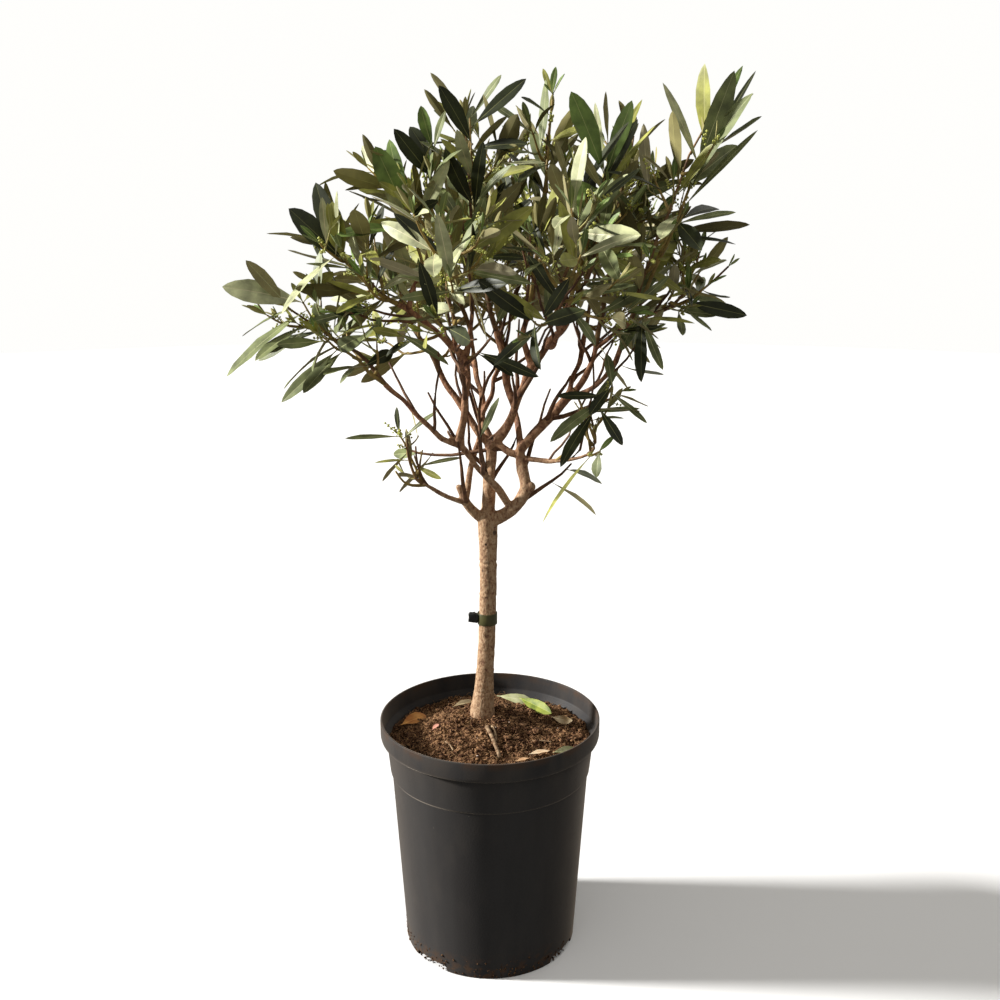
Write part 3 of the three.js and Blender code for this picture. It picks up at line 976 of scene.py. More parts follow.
class LeafShape:
    """The olive leaf: a short stalk, a long oval blade with a raised midrib, and a point at its tip."""

    stations = (0.035, 0.09, 0.2, 0.36, 0.54, 0.72, 0.87, 0.95)
    stalk = 0.9
    thick = 0.45
    rib_width = 0.34
    blunt = 0.78

    def __init__(self) -> None:
        """Lays out the points and faces of one leaf."""
        across = [(-1, 0, 0), (-0.55, 0, 1), (0, -1, 1), (0, 1, 1)]
        across += [(0.55, 0, 1), (1, 0, 0), (0, 1, -1), (0, -1, -1)]
        points = [(0.0, 0, 0, 0)]
        for station in self.stations:
            points += [(station, *place) for place in across]
        points.append((1.0, 0, 0, 0))
        self.points = np.array(points, dtype=float)
        ring = len(across)
        upper, under, rib = 0, 1, 2
        kinds = [upper, upper, rib, upper, upper, under, rib, under]
        faces, materials = [], []
        tip = len(points) - 1
        last = tip - ring
        for side in range(ring):
            after = (side + 1) % ring
            faces.append((0, 1 + after, 1 + side))
            materials.append(kinds[side])
            for step in range(len(self.stations) - 1):
                base = 1 + step * ring
                faces.append((base + side, base + after, base + ring + after, base + ring + side))
                materials.append(kinds[side])
            faces.append((last + side, last + after, tip))
            materials.append(kinds[side])
        starts = range(1, tip, ring)
        margins = [tuple(start + place for start in starts) + (0, tip) for place in (0, 5)]
        self.template = Template(faces, materials, margins)

    def half_width(self, along: np.ndarray, belly: np.ndarray) -> np.ndarray:
        """Returns the blade's half width at a share of its length, as a share of the widest.

        Args:
            along: the share of the length.
            belly: how far on the widest place is, about 1.
        """
        blade = np.clip((along - 0.06) / 0.94, 0, 1)
        rise, fall = 1.05 * belly, self.blunt
        widest = rise / (rise + fall)
        return (blade / widest) ** rise * ((1 - blade) / (1 - widest)) ** fall

    def places(self, leaves: Sequence[Leaf]) -> np.ndarray:
        """Returns the places of every point of every leaf, in millimetres."""
        root = np.array([wandered(leaf.root) for leaf in leaves])[:, None, :]
        axis = np.array([leaf.axis for leaf in leaves])[:, None, :]
        normal = np.array([leaf.normal for leaf in leaves])[:, None, :]
        side = np.cross(normal, axis)
        length, width, curl, fold, twist, belly = (
            np.array([getattr(leaf, name) for leaf in leaves])[:, None]
            for name in ("length", "width", "curl", "fold", "twist", "belly")
        )
        along, across, rib, face = self.points.T[:, None, :]
        half = np.maximum(self.half_width(along, belly) * width / 2, self.stalk / 2 * (along < 0.99))
        turn = twist * along
        out = across * half + rib * self.rib_width * (1 - 0.65 * along)
        on_rib = rib != 0
        spine = np.where(on_rib & (face < 0), -0.28, 0.0) + np.where(on_rib & (face > 0), -0.08, 0.0)
        lift = face * self.thick / 2 + spine * np.minimum(1, half / 2) + fold * np.abs(out)
        lift = lift - 0.06 * fold / 0.25 * np.abs(across) ** 3 * half
        lift = lift + 0.05 * half * np.sin(along * 19 + length) * np.abs(across)
        bend = curl * length * along**2
        ends = (along * length)[..., None] * axis
        flat = (out * np.cos(turn) - lift * np.sin(turn))[..., None] * side
        up = (out * np.sin(turn) + lift * np.cos(turn) - bend)[..., None] * normal
        return root + ends + flat + up


# ---- soil ----


@dataclass(frozen=True)
class FallenLeaf:
    """A leaf that lies on the soil: its ends, its width, how it lies and its colours."""

    name: str
    root: Pair
    tip: Pair
    width: float
    shade: Hex
    mottle: Hex
    lift: float = 2.5
    roll: float = 0.0
    curl: float = 0.06
    twist: float = 0.3


LITTER = (
    FallenLeaf("fallen_leaf_lime", (6, 66), (44, 62), 11, "#bcbf86", "#e2e4b6", 6.5, 0, 0.08),
    FallenLeaf("fallen_leaf_green", (28, 66), (60, 34), 13, "#66762b", "#98a043", 6.5, 0, 0.06),
    FallenLeaf("fallen_leaf_orange", (-88, 14), (-64, 34), 14, "#a5642c", "#cf9650", 5.5, 0, 0.05),
    FallenLeaf("fallen_leaf_curled", (60, 24), (82, 14), 9, "#c4aa80", "#ecdab6", 4.5, 0.2, -0.4, 1.2),
    FallenLeaf("fallen_leaf_bleached", (-38, 44), (-17, 72), 11, "#8f7d5c", "#c0ac86", 3.0, -0.3, 0.1),
    FallenLeaf("fallen_leaf_edge", (58, -50), (82, -34), 9, "#8b9159", "#c2c096", 4.2, 0.0, 0.08),
    FallenLeaf("fallen_scrap", (36, -56), (56, -44), 11, "#d8b48c", "#f2dab8", 5.0, -0.4, 0.0, -0.2),
    FallenLeaf("fallen_scrap_low", (24, -66), (36, -60), 7, "#b58b62", "#dcb890", 3.4, -0.4, 0.0, -0.2),
    FallenLeaf("fallen_scrap_red", (-56, 0), (-50, 8), 5, "#a96a57", "#d49a86", 2.6, -0.4, 0.0, 0.4),
)
STICKS = (
    (((-3, -12), (9, -56)), 2.1),
    (((2, -8), (6, -30)), 1.4),
    (((-42, -26), (-34, -42)), 0.9),
    (((40, -22), (58, -26)), 0.8),
)


@dataclass(frozen=True)
class Lumps:
    """The rough lumps of one kind that lie on the soil.

    Attributes:
        name: the piece that they make.
        count: how many there are.
        low: the smallest radius.
        high: the largest radius.
        flat: how flat they are, 1 being round.
        seed: names their run of random numbers.
        smooth: whether they are shaded smooth.
    """

    name: str
    count: int
    low: float
    high: float
    flat: float
    seed: int
    smooth: bool = True


CRUMBS = Lumps("soil_crumbs", 3600, 0.5, 3.0, 0.8, 71)
CLODS = Lumps("soil_clods", 120, 2.4, 6.5, 0.5, 75)
CHIPS = Lumps("bark_chips", 60, 1.6, 4.6, 0.35, 73, smooth=False)
SPECKS = Lumps("mineral_specks", 40, 0.7, 1.5, 0.8, 74)


@dataclass
class Soil:
    """The heaped potting soil, its crumbs, fibres, chips and specks, and what has fallen on it."""

    pot: Pot
    foot: Pair = (-8, 20)
    edge: float = 209
    crown: float = 222
    seat: float = 26
    depth: float = 30
    wall_gap: float = 0.4
    rings: int = 90
    sides: int = 200
    fibres: int = 1500
    fibre_seed: int = 72
    stretch: tuple[Pair, ...] = ((0.6, 1.4), (0.6, 1.3), (0.7, 1.2))
    wobble: Pair = (0.55, 1.35)

    @property
    def radius(self) -> float:
        """The radius of the soil where it meets the wall."""
        return self.pot.inner_radius(self.edge) - self.wall_gap

    def share(self, x: float, y: float) -> float:
        """Returns how far a point is from the stem to the wall, from 0 to 1."""
        far = Vector((x - self.foot[0], y - self.foot[1]))
        if far.length < 1e-6:
            return 0.0
        out = far.normalized()
        foot = Vector(self.foot)
        along = foot.dot(out)
        whole = -along + math.sqrt(along * along - foot.length_squared + self.radius**2)
        return min(1.0, far.length / whole)

    def surface(self, x: float, y: float) -> float:
        """Returns the soil's height at a point."""
        share = self.share(x, y)
        seat = self.seat / self.pot.foot_radius
        fall = max(0.0, (share - seat) / (1 - seat))
        level = self.crown - (self.crown - self.edge) * math.sqrt(fall)
        place = Vector((x, y, 0))
        swell = noise.fractal(place / 24, 1.0, 2.0, 3)
        lumps = noise.fractal(place / 7.5 + Vector((9, 4, 0)), 0.8, 2.1, 5)
        rough = min(1.0, share * 8)
        return level + rough * (2.8 * swell + 2.6 * lumps) - 1.2

    def bed(self) -> Shape:
        """Returns the body of the soil: a spun disc with its top pushed to the heaped surface."""
        outline = [(self.radius * ring / self.rings, self.edge) for ring in range(self.rings + 1)]
        under = self.edge - self.depth
        outline += [(self.pot.inner_radius(under) - self.wall_gap, under), (0, under)]
        shape = spun(outline, self.sides)
        for vert in shape.verts:
            if vert.co.z > under + 1:
                vert.co.z = self.surface(vert.co.x, vert.co.y)
        return shape

    def scattered(self, random: Seeded, inset: float) -> Vector:
        """Returns a random point on the surface, clear of the stem and the wall."""
        while True:
            x = random.between(-self.radius, self.radius)
            y = random.between(-self.radius, self.radius)
            clear = math.hypot(x - self.foot[0], y - self.foot[1]) > 12
            if math.hypot(x, y) < self.radius - inset and clear:
                return Vector((x, y, self.surface(x, y)))

    def lumps(self, kind: Lumps) -> np.ndarray:
        """Returns the places of the points of every lump of one kind."""
        random = Seeded(kind.seed)
        every = []
        for _ in range(kind.count):
            size = kind.low + (kind.high - kind.low) * random.next() ** 2.5
            centre = self.scattered(random, size)
            stretch = np.array([random.between(*span) for span in self.stretch])
            stretch[2] *= kind.flat
            lump = lumpy(random, self.wobble) * stretch * size
            spin = np.array(Matrix.Rotation(random.between(0, math.tau), 3, "Z"))
            every.append(lump @ spin.T + np.array(centre) + np.array([0, 0, size * kind.flat * 0.3]))
        return np.array(every)

    def scatter(self, kind: Lumps, material: Material) -> None:
        """Makes the lumps of one kind."""
        settle(LUMP.joined(self.lumps(kind), kind.smooth), kind.name, [material])

    def build(self) -> None:
        """Makes the soil and all that lies on it."""
        earth = Earth().make()
        settle(mesh_of(self.bed()), "soil_bed", [earth], ["soil"])
        self.scatter(CRUMBS, earth)
        self.scatter(CLODS, earth)
        self.build_fibres()
        self.scatter(CHIPS, Plain("bark_chip", "#3d281b", "#8b6a4b", 200, 0.85, 0.2).make())
        self.scatter(SPECKS, Plain("mineral", "#d9c3b4", "#f1e6dc", 300, 0.8).make())
        self.build_litter()

    def build_litter(self) -> None:
        """Makes the leaves, the stick and the chips that lie on the soil."""
        shape = LeafShape()
        for fallen in LITTER:
            mesh = shape.template.joined(shape.places([self.laid(fallen)]))
            finish = Plain(fallen.name, fallen.shade, fallen.mottle, 110, 0.5)
            rib = Plain(f"{fallen.name}_rib", fallen.mottle, lighter(fallen.mottle, 1.15), 110, 0.5)
            leaf = finish.make()
            settle(mesh, fallen.name, [leaf, leaf, rib.make()])
        sticks = [self.stick(*ends, radius) for ends, radius in STICKS]
        twig = Plain("dry_twig", "#5e4531", "#b49b7b", 240, 0.85, 0.2)
        settle(Tube.joined(sticks, 9, 8), "fallen_sticks", [twig.make()])

    def laid(self, fallen: FallenLeaf) -> Leaf:
        """Returns a fallen leaf, laid on the soil."""
        (x, y), (far_x, far_y) = fallen.root, fallen.tip
        root = Vector((x, y, self.surface(x, y) + fallen.lift))
        tip = Vector((far_x, far_y, self.surface(far_x, far_y) + fallen.lift))
        axis = (tip - root).normalized()
        facing = Vector((-0.25, -0.55, 1))
        normal = (facing - axis * facing.dot(axis)).normalized()
        normal.rotate(Matrix.Rotation(fallen.roll, 3, axis))
        length = (tip - root).length
        return Leaf(root, axis, normal, length, fallen.width, fallen.curl, 0.3, fallen.twist, 1.1)

    def stick(self, start: Pair, end: Pair, radius: float) -> Tube:
        """Returns a stick that lies on the soil."""
        places = [Vector((x, y, self.surface(x, y) + radius * 1.4)) for x, y in (start, end)]
        return Tube(Bow.between(*places, Vector((0.6, 0.4, 0.8))), radius, radius * 0.8)

    def build_fibres(self) -> None:
        """Makes the fine roots and peat fibres that stand out of the soil."""
        random = Seeded(self.fibre_seed)
        lines = []
        for _ in range(self.fibres):
            start = self.scattered(random, 3)
            turn = random.between(0, math.tau)
            length = random.between(4, 13)
            out = Vector((math.cos(turn), math.sin(turn), random.between(0.05, 0.6))).normalized() * length
            bow = Vector((random.between(-2, 2), random.between(-2, 2), random.between(0.3, 2)))
            line = Bow.between(start - out * 0.3, start + out * 0.7, bow)
            lines.append(Tube(line, random.between(0.14, 0.34), 0.1))
        finish = Plain("peat_fibre", "#5c3a25", "#a8865f", 120, 0.9, 0.2)
        settle(Tube.joined(lines, 3, 4), "soil_fibres", [finish.make()])


# ---- wood ----


@dataclass(frozen=True)
class Stub:
    """A pruned stump at the end of a bough."""

    tip: Point
    radius: float


@dataclass(frozen=True)
class Bough:
    """A limb that leaves another at a share of its length and runs to its tip.

    Attributes:
        name: the limb's own name, and its node's.
        on: the limb that carries it.
        at: where on that limb it leaves.
        tip: where it ends.
        bow: how far its middle stands off the straight line.
        foot: its radius where it leaves.
        end: its radius at the tip.
        stub: a pruned stump, where it has one.
    """

    name: str
    on: str
    at: float
    tip: Point
    bow: Point
    foot: float
    end: float
    stub: Stub | None = None


BOUGHS = (
    Bough("leader", "trunk", 1, (1, 20, 491), (0, 0, 0), 6.6, 5.9),
    Bough("right_bough", "trunk", 0.985, (34, 5, 452), (5, 0, -4), 7, 6, Stub((39, 2, 454), 4.2)),
    Bough("left_bough", "trunk", 0.985, (-24, 12, 441), (-2, 0, -2), 5.6, 4.4, Stub((-28, 10, 453), 3.4)),
    Bough("left_twig", "left_bough", 0.85, (-60, -4, 458), (1, 0, -3), 2.8, 1.9),
    Bough("back_left_bough", "left_bough", 0.9, (7, 62, 552), (-3, 4, 0), 3.2, 2.6),
    Bough("right_riser", "right_bough", 1, (27, 12, 490), (1, 0, -2), 5.7, 4.9),
    Bough("left_arm", "leader", 0.98, (-44, 35, 553), (0, 0, -4), 4.7, 3.2),
    Bough("centre_arm", "leader", 0.96, (38, 0, 569), (3, -2, -4), 4.6, 4.2),
    Bough("bridge", "right_riser", 0.88, (5, 17, 493), (0, 0, -2), 3.6, 3.2),
    Bough("back_arm", "leader", 0.97, (-19, 92, 580), (0, 6, -8), 3.8, 2.8),
    Bough("pruned_stem", "centre_arm", 1, (32, 2, 605), (-4, -3, -2), 3.6, 3),
    Bough(
        "centre_right_arm", "centre_arm", 0.99, (68, -14, 609), (0, 0, -2), 4, 3,
        Stub((66, -15, 617), 2.8),
    ),
    Bough("high_twig", "centre_right_arm", 0.8, (88, 4, 655), (-2, 4, 2), 2.6, 2),
    Bough("front_right_arm", "centre_right_arm", 0.45, (56, -92, 612), (4, -12, -6), 2.8, 2.1),
    Bough("back_riser", "right_riser", 0.9, (4, 42, 593), (4, 4, -6), 4, 2.8),
    Bough("right_arm", "right_riser", 0.96, (71, 18, 535), (0, -3, 0), 4.8, 4, Stub((74, 20, 541), 3.4)),
    Bough("right_rise", "right_arm", 1, (96, 20, 580), (5, 1, -5), 3.3, 2.8),
    Bough("back_right_arm", "right_arm", 0.85, (90, 84, 584), (2, 8, -6), 3.2, 2.4),
    Bough("right_reach", "right_rise", 0.98, (148, 6, 610), (-3, 3, 3), 2.6, 1.9),
    Bough("golden_twig", "right_arm", 0.98, (122, -27, 608), (7, -3, -12), 2.7, 2),
    Bough("low_right_twig", "right_riser", 0.8, (86, -15, 490), (2, -3, -8), 3, 1.9),
    Bough(
        "crossing_bough", "right_bough", 0.5, (-26, -22, 497), (0, -4, 1), 3.7, 3.4,
        Stub((-36, -24, 511), 1.3),
    ),
    Bough("far_left_bough", "crossing_bough", 0.99, (-90, -38, 556), (2, -2, -9), 2.9, 2.2),
    Bough("front_riser", "crossing_bough", 1, (-19, -18, 575), (2, -2, 0), 3.9, 3.3),
    Bough("upper_left_bough", "front_riser", 0.97, (-76, -31, 621), (1, -2, 3), 3.4, 2.3),
    Bough("left_top_twig", "upper_left_bough", 0.85, (-54, -22, 655), (-5, 0, 0), 2.4, 1.9),
    Bough("inner_riser", "front_riser", 1, (-14, -14, 612), (1, 0, -3), 3, 2.3),
    Bough("front_left_arm", "front_riser", 0.8, (-28, -92, 606), (0, -12, -6), 2.8, 2.1),
)


@dataclass
class Wood:
    """The stem and its boughs, fused into one skin with the bark's relief."""

    soil: Soil
    top: float = 420
    lean: Pair = (6, 0)
    bow: Point = (2.5, 0, 0)
    foot: float = 12.5
    waist: float = 8.1
    head: float = 9.6
    flare: float = 26
    voxel: float = 0.85
    sides: int = 18
    lines: dict[str, Bow] = field(default_factory=dict)
    ends: dict[str, float] = field(default_factory=dict)

    def __post_init__(self) -> None:
        """Notes where the pruning scars are."""
        self.scars = [(VIEW.place(sight), radius) for sight, radius in SCARS]

    def grow(self) -> None:
        """Lays out the line of the stem and of every bough."""
        x, y = self.soil.foot
        start = Vector((x, y, self.soil.crown - 2))
        end = Vector((x + self.lean[0], y + self.lean[1], self.top))
        self.lines["trunk"] = Bow.between(start, end, Vector(self.bow))
        self.ends["trunk"] = self.stem_radius(1)
        for bough in BOUGHS:
            root = self.lines[bough.on].point(bough.at)
            self.lines[bough.name] = Bow.between(root, Vector(bough.tip), Vector(bough.bow))
            self.ends[bough.name] = bough.end

    def stem_radius(self, at: float) -> float:
        """Returns the stem's radius at a share of its height."""
        height = at * (self.top - self.soil.crown)
        flare = (self.foot - self.waist) * math.exp(-((height / self.flare) ** 1.3))
        head = (self.head - self.waist) * max(0.0, (at - 0.6) / 0.4) ** 2
        return self.waist + flare + head

    def add_limb(self, shape: Shape, line: Bow, radius: Callable[[float], float], steps: int) -> None:
        """Adds a limb with a rounded end.

        Args:
            shape: the bmesh that holds the wood.
            line: the limb's line.
            radius: its radius at a share of its length.
            steps: how many rings it has.
        """
        ring = bmesh.ops.create_circle(shape, cap_ends=True, segments=self.sides, radius=1)["verts"]
        edges = once(edge for vert in ring for edge in vert.link_edges)
        stops = [(step / steps, 1.0) for step in range(steps + 1)] + [(1.0, 0.75), (1.0, 0.35)]
        bulge = [0.0] * (steps + 1) + [0.6, 0.9]
        last = Matrix.Identity(4)
        for (at, share), out in zip(stops, bulge):
            place = self.ring_place(line, at, radius(at) * share, out * radius(at))
            if at > 0:
                made = bmesh.ops.extrude_edge_only(shape, edges=edges)["geom"]
                ring = [item for item in made if isinstance(item, Vert)]
                edges = [item for item in made if isinstance(item, Edge)]
                edges = [edge for edge in edges if all(vert in ring for vert in edge.verts)]
            bmesh.ops.transform(shape, matrix=place @ last.inverted(), verts=ring)
            last = place
        bmesh.ops.contextual_create(shape, geom=edges)

    @staticmethod
    def ring_place(line: Bow, at: float, radius: float, out: float) -> Matrix:
        """Returns the place of a unit ring on a limb."""
        along = line.tangent(at)
        side = (line.end - line.start).normalized().orthogonal()
        first = (side - along * side.dot(along)).normalized()
        second = along.cross(first)
        turn = Matrix((first * radius, second * radius, along * radius)).transposed().to_4x4()
        return Matrix.Translation(line.point(at) + along * out) @ turn

    def skeleton(self) -> Shape:
        """Returns every limb as its own closed tube."""
        shape = bmesh.new()
        self.add_limb(shape, self.lines["trunk"], self.stem_radius, 26)
        for bough in BOUGHS:
            line = self.lines[bough.name]
            self.add_limb(shape, line, lambda at, b=bough: self.bough_radius(b, at), 12)
            if bough.stub:
                stump = Bow.between(line.point(0.97), Vector(bough.stub.tip), Vector((0, 0, 0)))
                self.add_limb(shape, stump, lambda at, b=bough: b.stub.radius, 3)
        bmesh.ops.recalc_face_normals(shape, faces=shape.faces)
        return shape

    @staticmethod
    def bough_radius(bough: Bough, at: float) -> float:
        """Returns a bough's radius at a share of its length, with a collar at its foot."""
        collar = 0.22 * bough.foot * math.exp(-at * 9)
        return 0.93 * (bough.foot + (bough.end - bough.foot) * at) + collar

    def relief(self, place: Vector, normal: Vector) -> float:
        """Returns how far the bark stands out at a point."""
        lumps = noise.fractal(place / 13, 1.0, 2.0, 2) * 0.34
        flat = Vector((place.x / 3.2, place.y / 3.2, place.z / 7.5))
        ridges = noise.fractal(flat, 1.0, 2.1, 3) * 0.16
        cracks = -0.35 * max(0.0, noise.noise(Vector((place.x / 2.1, place.y / 2.1, place.z / 11))) - 0.35)
        stem = 1.0 if place.z < self.top else 0.7
        rings = 0.0
        for height, depth in RING_SCARS:
            wave = 1.3 * noise.noise(Vector((place.x / 6, place.y / 6, height)))
            rings += depth * math.exp(-(((place.z - height + wave) / 0.9) ** 2))
        scars = 0.0
        for spot, radius in self.scars:
            far = (wandered(place) - spot).length
            edge = math.exp(-(((far - radius) / 1.1) ** 2))
            scars += 0.55 * edge - 0.8 * math.exp(-((far / radius) ** 2))
        return stem * (lumps + ridges + cracks) + rings * (abs(normal.z) < 0.6) + scars

    def build(self) -> None:
        """Makes the wood."""
        body = linked("limbs", mesh_of(self.skeleton()))
        fuse = body.modifiers.new("fuse", "REMESH")
        fuse.mode = "VOXEL"
        fuse.voxel_size = self.voxel * MM
        fuse.adaptivity = 0
        shape = bmesh.new()
        shape.from_mesh(applied(body))
        bmesh.ops.scale(shape, vec=(1 / MM,) * 3, verts=shape.verts)
        for _ in range(3):
            bmesh.ops.smooth_vert(
                shape, verts=shape.verts, factor=0.5, use_axis_x=True, use_axis_y=True, use_axis_z=True
            )
        shape.normal_update()
        moves = [vert.normal * self.relief(vert.co, vert.normal) for vert in shape.verts]
        for vert, move in zip(shape.verts, moves):
            vert.co = wandered(vert.co) + move
        names = ["trunk"] + [bough.name for bough in BOUGHS]
        settle(mesh_of(shape), "stem_and_boughs", [Bark().make()], names)


# ---- tie ----


@dataclass
class Tie:
    """The soft green band round the stem, with its folded black clip on the left."""

    wood: Wood
    height: float = 322
    band: float = 11
    thick: float = 0.9
    clear: float = 0.15
    rim: float = 0.25
    clip: Point = (9, 5, 9)
    clip_corner: float = 0.6
    sides: int = 72

    def build(self) -> None:
        """Makes the band and its clip."""
        at = (self.height - self.wood.soil.crown) / (self.wood.top - self.wood.soil.crown)
        centre = self.wood.lines["trunk"].point(at)
        inner = self.wood.stem_radius(at) + self.clear + 0.3
        outer = inner + self.thick
        half = self.band / 2
        loop = [(inner, -half), (outer, -half), (outer, half), (inner, half)]
        shape = spun(loop, self.sides, closed=True)
        rims = [edge for edge in shape.edges if edge.is_manifold and edge.calc_face_angle() > 1]
        bevelled(shape, rims, self.rim, 2)
        for vert in shape.verts:
            vert.co *= 1 + 0.006 * noise.noise(vert.co / 5)
        bmesh.ops.translate(shape, vec=centre, verts=shape.verts)
        rubber = Plain("tie_rubber", "#3a391b", "#4f4c24", 90, 0.42, 0.5, 0.00015)
        settle(mesh_of(shape), "tie_band", [rubber.make()], ["tie"])
        self.build_clip(centre, outer)

    def build_clip(self, centre: Vector, outer: float) -> None:
        """Makes the folded clip and the two ears that it pinches."""
        shape = bmesh.new()
        long, wide, high = self.clip
        parts = (
            ((long, wide, high), (0, -1, 0.5), 8),
            ((long * 0.72, wide * 1.25, high * 0.55), (-1.2, -1.4, 2.6), -12),
            ((3.4, 1.4, self.band * 0.9), (long * 0.55, 1.2, -0.3), 4),
        )
        for size, offset, lean in parts:
            verts = add_block(shape, size, self.clip_corner, 3)
            turn = Matrix.Rotation(math.radians(lean), 3, "Y")
            bmesh.ops.rotate(shape, cent=MIDDLE, matrix=turn, verts=verts)
            bmesh.ops.translate(shape, vec=Vector(offset), verts=verts)
        place = centre + Vector((-(outer + long / 2 - 0.6), -1, 0.5))
        bmesh.ops.translate(shape, vec=place, verts=shape.verts)
        plastic = Plain("clip_plastic", "#141413", "#232321", 140, 0.45, 0.5, 0.0001)
        settle(mesh_of(shape), "tie_clip", [plastic.make()])


# ---- crown ----


@dataclass(frozen=True)
class Mass:
    """A mass of foliage, which grows from the tip of its bough to its reach.

    Attributes:
        name: the mass's name.
        on: the bough that carries it.
        reach: where its stem ends.
        shoots: how many side shoots it has.
        spread: about how long they are.
        leaf: about how long the leaves are.
        droop: how much they hang.
        seed: names its run of random numbers.
        open: the share of its leaves that have fallen.
        tone: the tone of all its sprays, where they have one.
    """

    name: str
    on: str
    reach: Point
    shoots: int
    spread: float
    leaf: float
    droop: float
    seed: int
    open: float = 0.28
    tone: Tone | None = None


MASSES = (
    Mass("far_left", "far_left_bough", (-168, -58, 620), 5, 44, 70, 0.35, 29, 0.8, GREY),
    Mass("left_sprig", "left_twig", (-73, -14, 501), 2, 26, 42, 0.1, 42, 0.95, GREY),
    Mass("upper_left", "upper_left_bough", (-128, -48, 666), 6, 50, 60, 0.2, 22, 0.5),
    Mass("left_top", "left_top_twig", (-72, -30, 730), 5, 48, 60, 0, 29, 0.45),
    Mass("top_left", "inner_riser", (-20, -5, 774), 6, 48, 58, 0.1, 26, 0.45),
    Mass("left_mid", "left_arm", (-98, 70, 650), 6, 56, 60, 0.3, 43, 0.3),
    Mass("top_centre", "pruned_stem", (54, 10, 776), 7, 52, 56, 0.1, 19, 0.4),
    Mass("centre_right", "centre_right_arm", (98, -40, 716), 6, 54, 62, 0.2, 27, 0.4),
    Mass("high_right", "high_twig", (128, 30, 762), 5, 48, 50, 0, 42, 0.34),
    Mass("right_mid", "right_rise", (134, 40, 716), 6, 56, 54, 0.2, 20, 0.4),
    Mass("right_top", "golden_twig", (174, -46, 764), 5, 44, 74, 0, 13, 0.75),
    Mass("right_low", "right_reach", (184, 5, 664), 5, 42, 50, 0.3, 42, 0.5),
    Mass("low_right", "low_right_twig", (90, -20, 528), 5, 38, 62, 0.9, 111, 0.85),
    Mass("back_left", "back_left_bough", (-33, 110, 690), 7, 60, 60, 0.2, 6),
    Mass("back_centre", "back_riser", (19, 60, 746), 7, 56, 58, 0.1, 19),
    Mass("back", "back_arm", (-61, 160, 672), 7, 60, 62, 0.3, 18),
    Mass("back_right", "back_right_arm", (119, 150, 690), 7, 60, 62, 0.3, 20),
    Mass("front_left", "front_left_arm", (-27, -140, 680), 6, 56, 60, 0.3, 9, 0.45),
    Mass("front_right", "front_right_arm", (75, -140, 690), 6, 56, 60, 0.3, 26, 0.5),
)


@dataclass(frozen=True)
class Single:
    """A leaf of a spray that stands out of the crown.

    Attributes:
        at: where on its shoot it leaves.
        tip: where its point is.
        width: how wide it is.
        tone: its tone.
    """

    at: float
    tip: Sight
    width: float
    tone: Tone


@dataclass(frozen=True)
class Spray:
    """A shoot that stands out of the crown, with its leaves.

    Attributes:
        on: the bough that carries it.
        at: where on that bough it leaves.
        tip: where it ends.
        foot: its radius where it leaves.
        panicles: how many pairs of bud stalks it has.
        leaves: its leaves.
    """

    on: str
    at: float
    tip: Sight
    foot: float
    panicles: int
    leaves: tuple[Single, ...] = ()


FAR_LEFT = Spray("far_left_bough", 1, Sight(302, 304, -58), 2, 2, (
    # This leaf's pale tone is a painted highlight: glancing light on a darker leaf.
    Single(1, Sight(221, 288, -66), 20, PALE),
    Single(0.93, Sight(227, 378, -84), 20, GREY),
    Single(0.72, Sight(256, 355, -40), 14, DARK),
    Single(0.5, Sight(302, 392, -80), 17, GREY),
    Single(0.66, Sight(314, 303, -50), 12, GREY),
    Single(0.62, Sight(380, 324, -70), 9, OLIVE),
    Single(1, Sight(332, 273, -40), 12, OLIVE),
    Single(1, Sight(290, 284, -58), 5, OLIVE),
    Single(0.3, Sight(338, 385, -60), 9, GREY),
    Single(0.25, Sight(392, 352, -30), 12, DARK),
))
UPPER_LEFT = Spray("upper_left_bough", 1, Sight(345, 264, -50), 2, 1, (
    Single(1, Sight(289, 211, -60), 20, DARK),
    Single(1, Sight(333, 204, -70), 20, OLIVE),
    Single(1, Sight(316, 185, -40), 17, DARK),
    Single(0.95, Sight(300, 226, -20), 11, DARK),
    Single(0.85, Sight(306, 266, -66), 5, GREY),
    Single(0.45, Sight(372, 243, -70), 9, GREY),
    Single(0.4, Sight(394, 249, -60), 9, DARK),
    Single(0.35, Sight(430, 266, -70), 9, PALE),
))
LEFT_TOP = Spray("left_top_twig", 0.9, Sight(409, 214, -44), 1.7, 1, (
    Single(1, Sight(377, 144, -60), 20, FRESH),
    Single(1, Sight(391, 137, -30), 14, FRESH),
    Single(0.7, Sight(335, 237, -74), 15, FRESH),
    Single(0.85, Sight(385, 188, -70), 11, PALE),
    Single(0.9, Sight(440, 200, -60), 11, DARK),
))
LEFT_CREST = Spray("left_top_twig", 1, Sight(434, 150, -30), 1.8, 1, (
    Single(0.75, Sight(394, 128, -40), 14, DARK),
    Single(0.85, Sight(409, 127, -20), 14, DARK),
    Single(1, Sight(421, 105, -40), 11, FRESH),
    Single(1, Sight(446, 110, -20), 7, GREY),
    Single(0.6, Sight(434, 150, -60), 12, GREY),
))
TALL_LEFT = Spray("inner_riser", 1, Sight(471, 118, -24), 2.1, 1, (
    Single(0.96, Sight(526, 79, -30), 12, DARK),
    Single(0.88, Sight(438, 87, -40), 15, DARK),
    Single(0.85, Sight(528, 146, -44), 11, DARK),
    Single(0.75, Sight(439, 138, -30), 8, OLIVE),
    Single(0.72, Sight(455, 128, -44), 11, PALE),
    Single(0.7, Sight(532, 165, -50), 9, OLIVE),
    Single(0.6, Sight(443, 147, -50), 15, DARK),
    Single(0.6, Sight(510, 163, -50), 9, GREY),
    Single(0.55, Sight(481, 140, -34), 12, DARK),
))
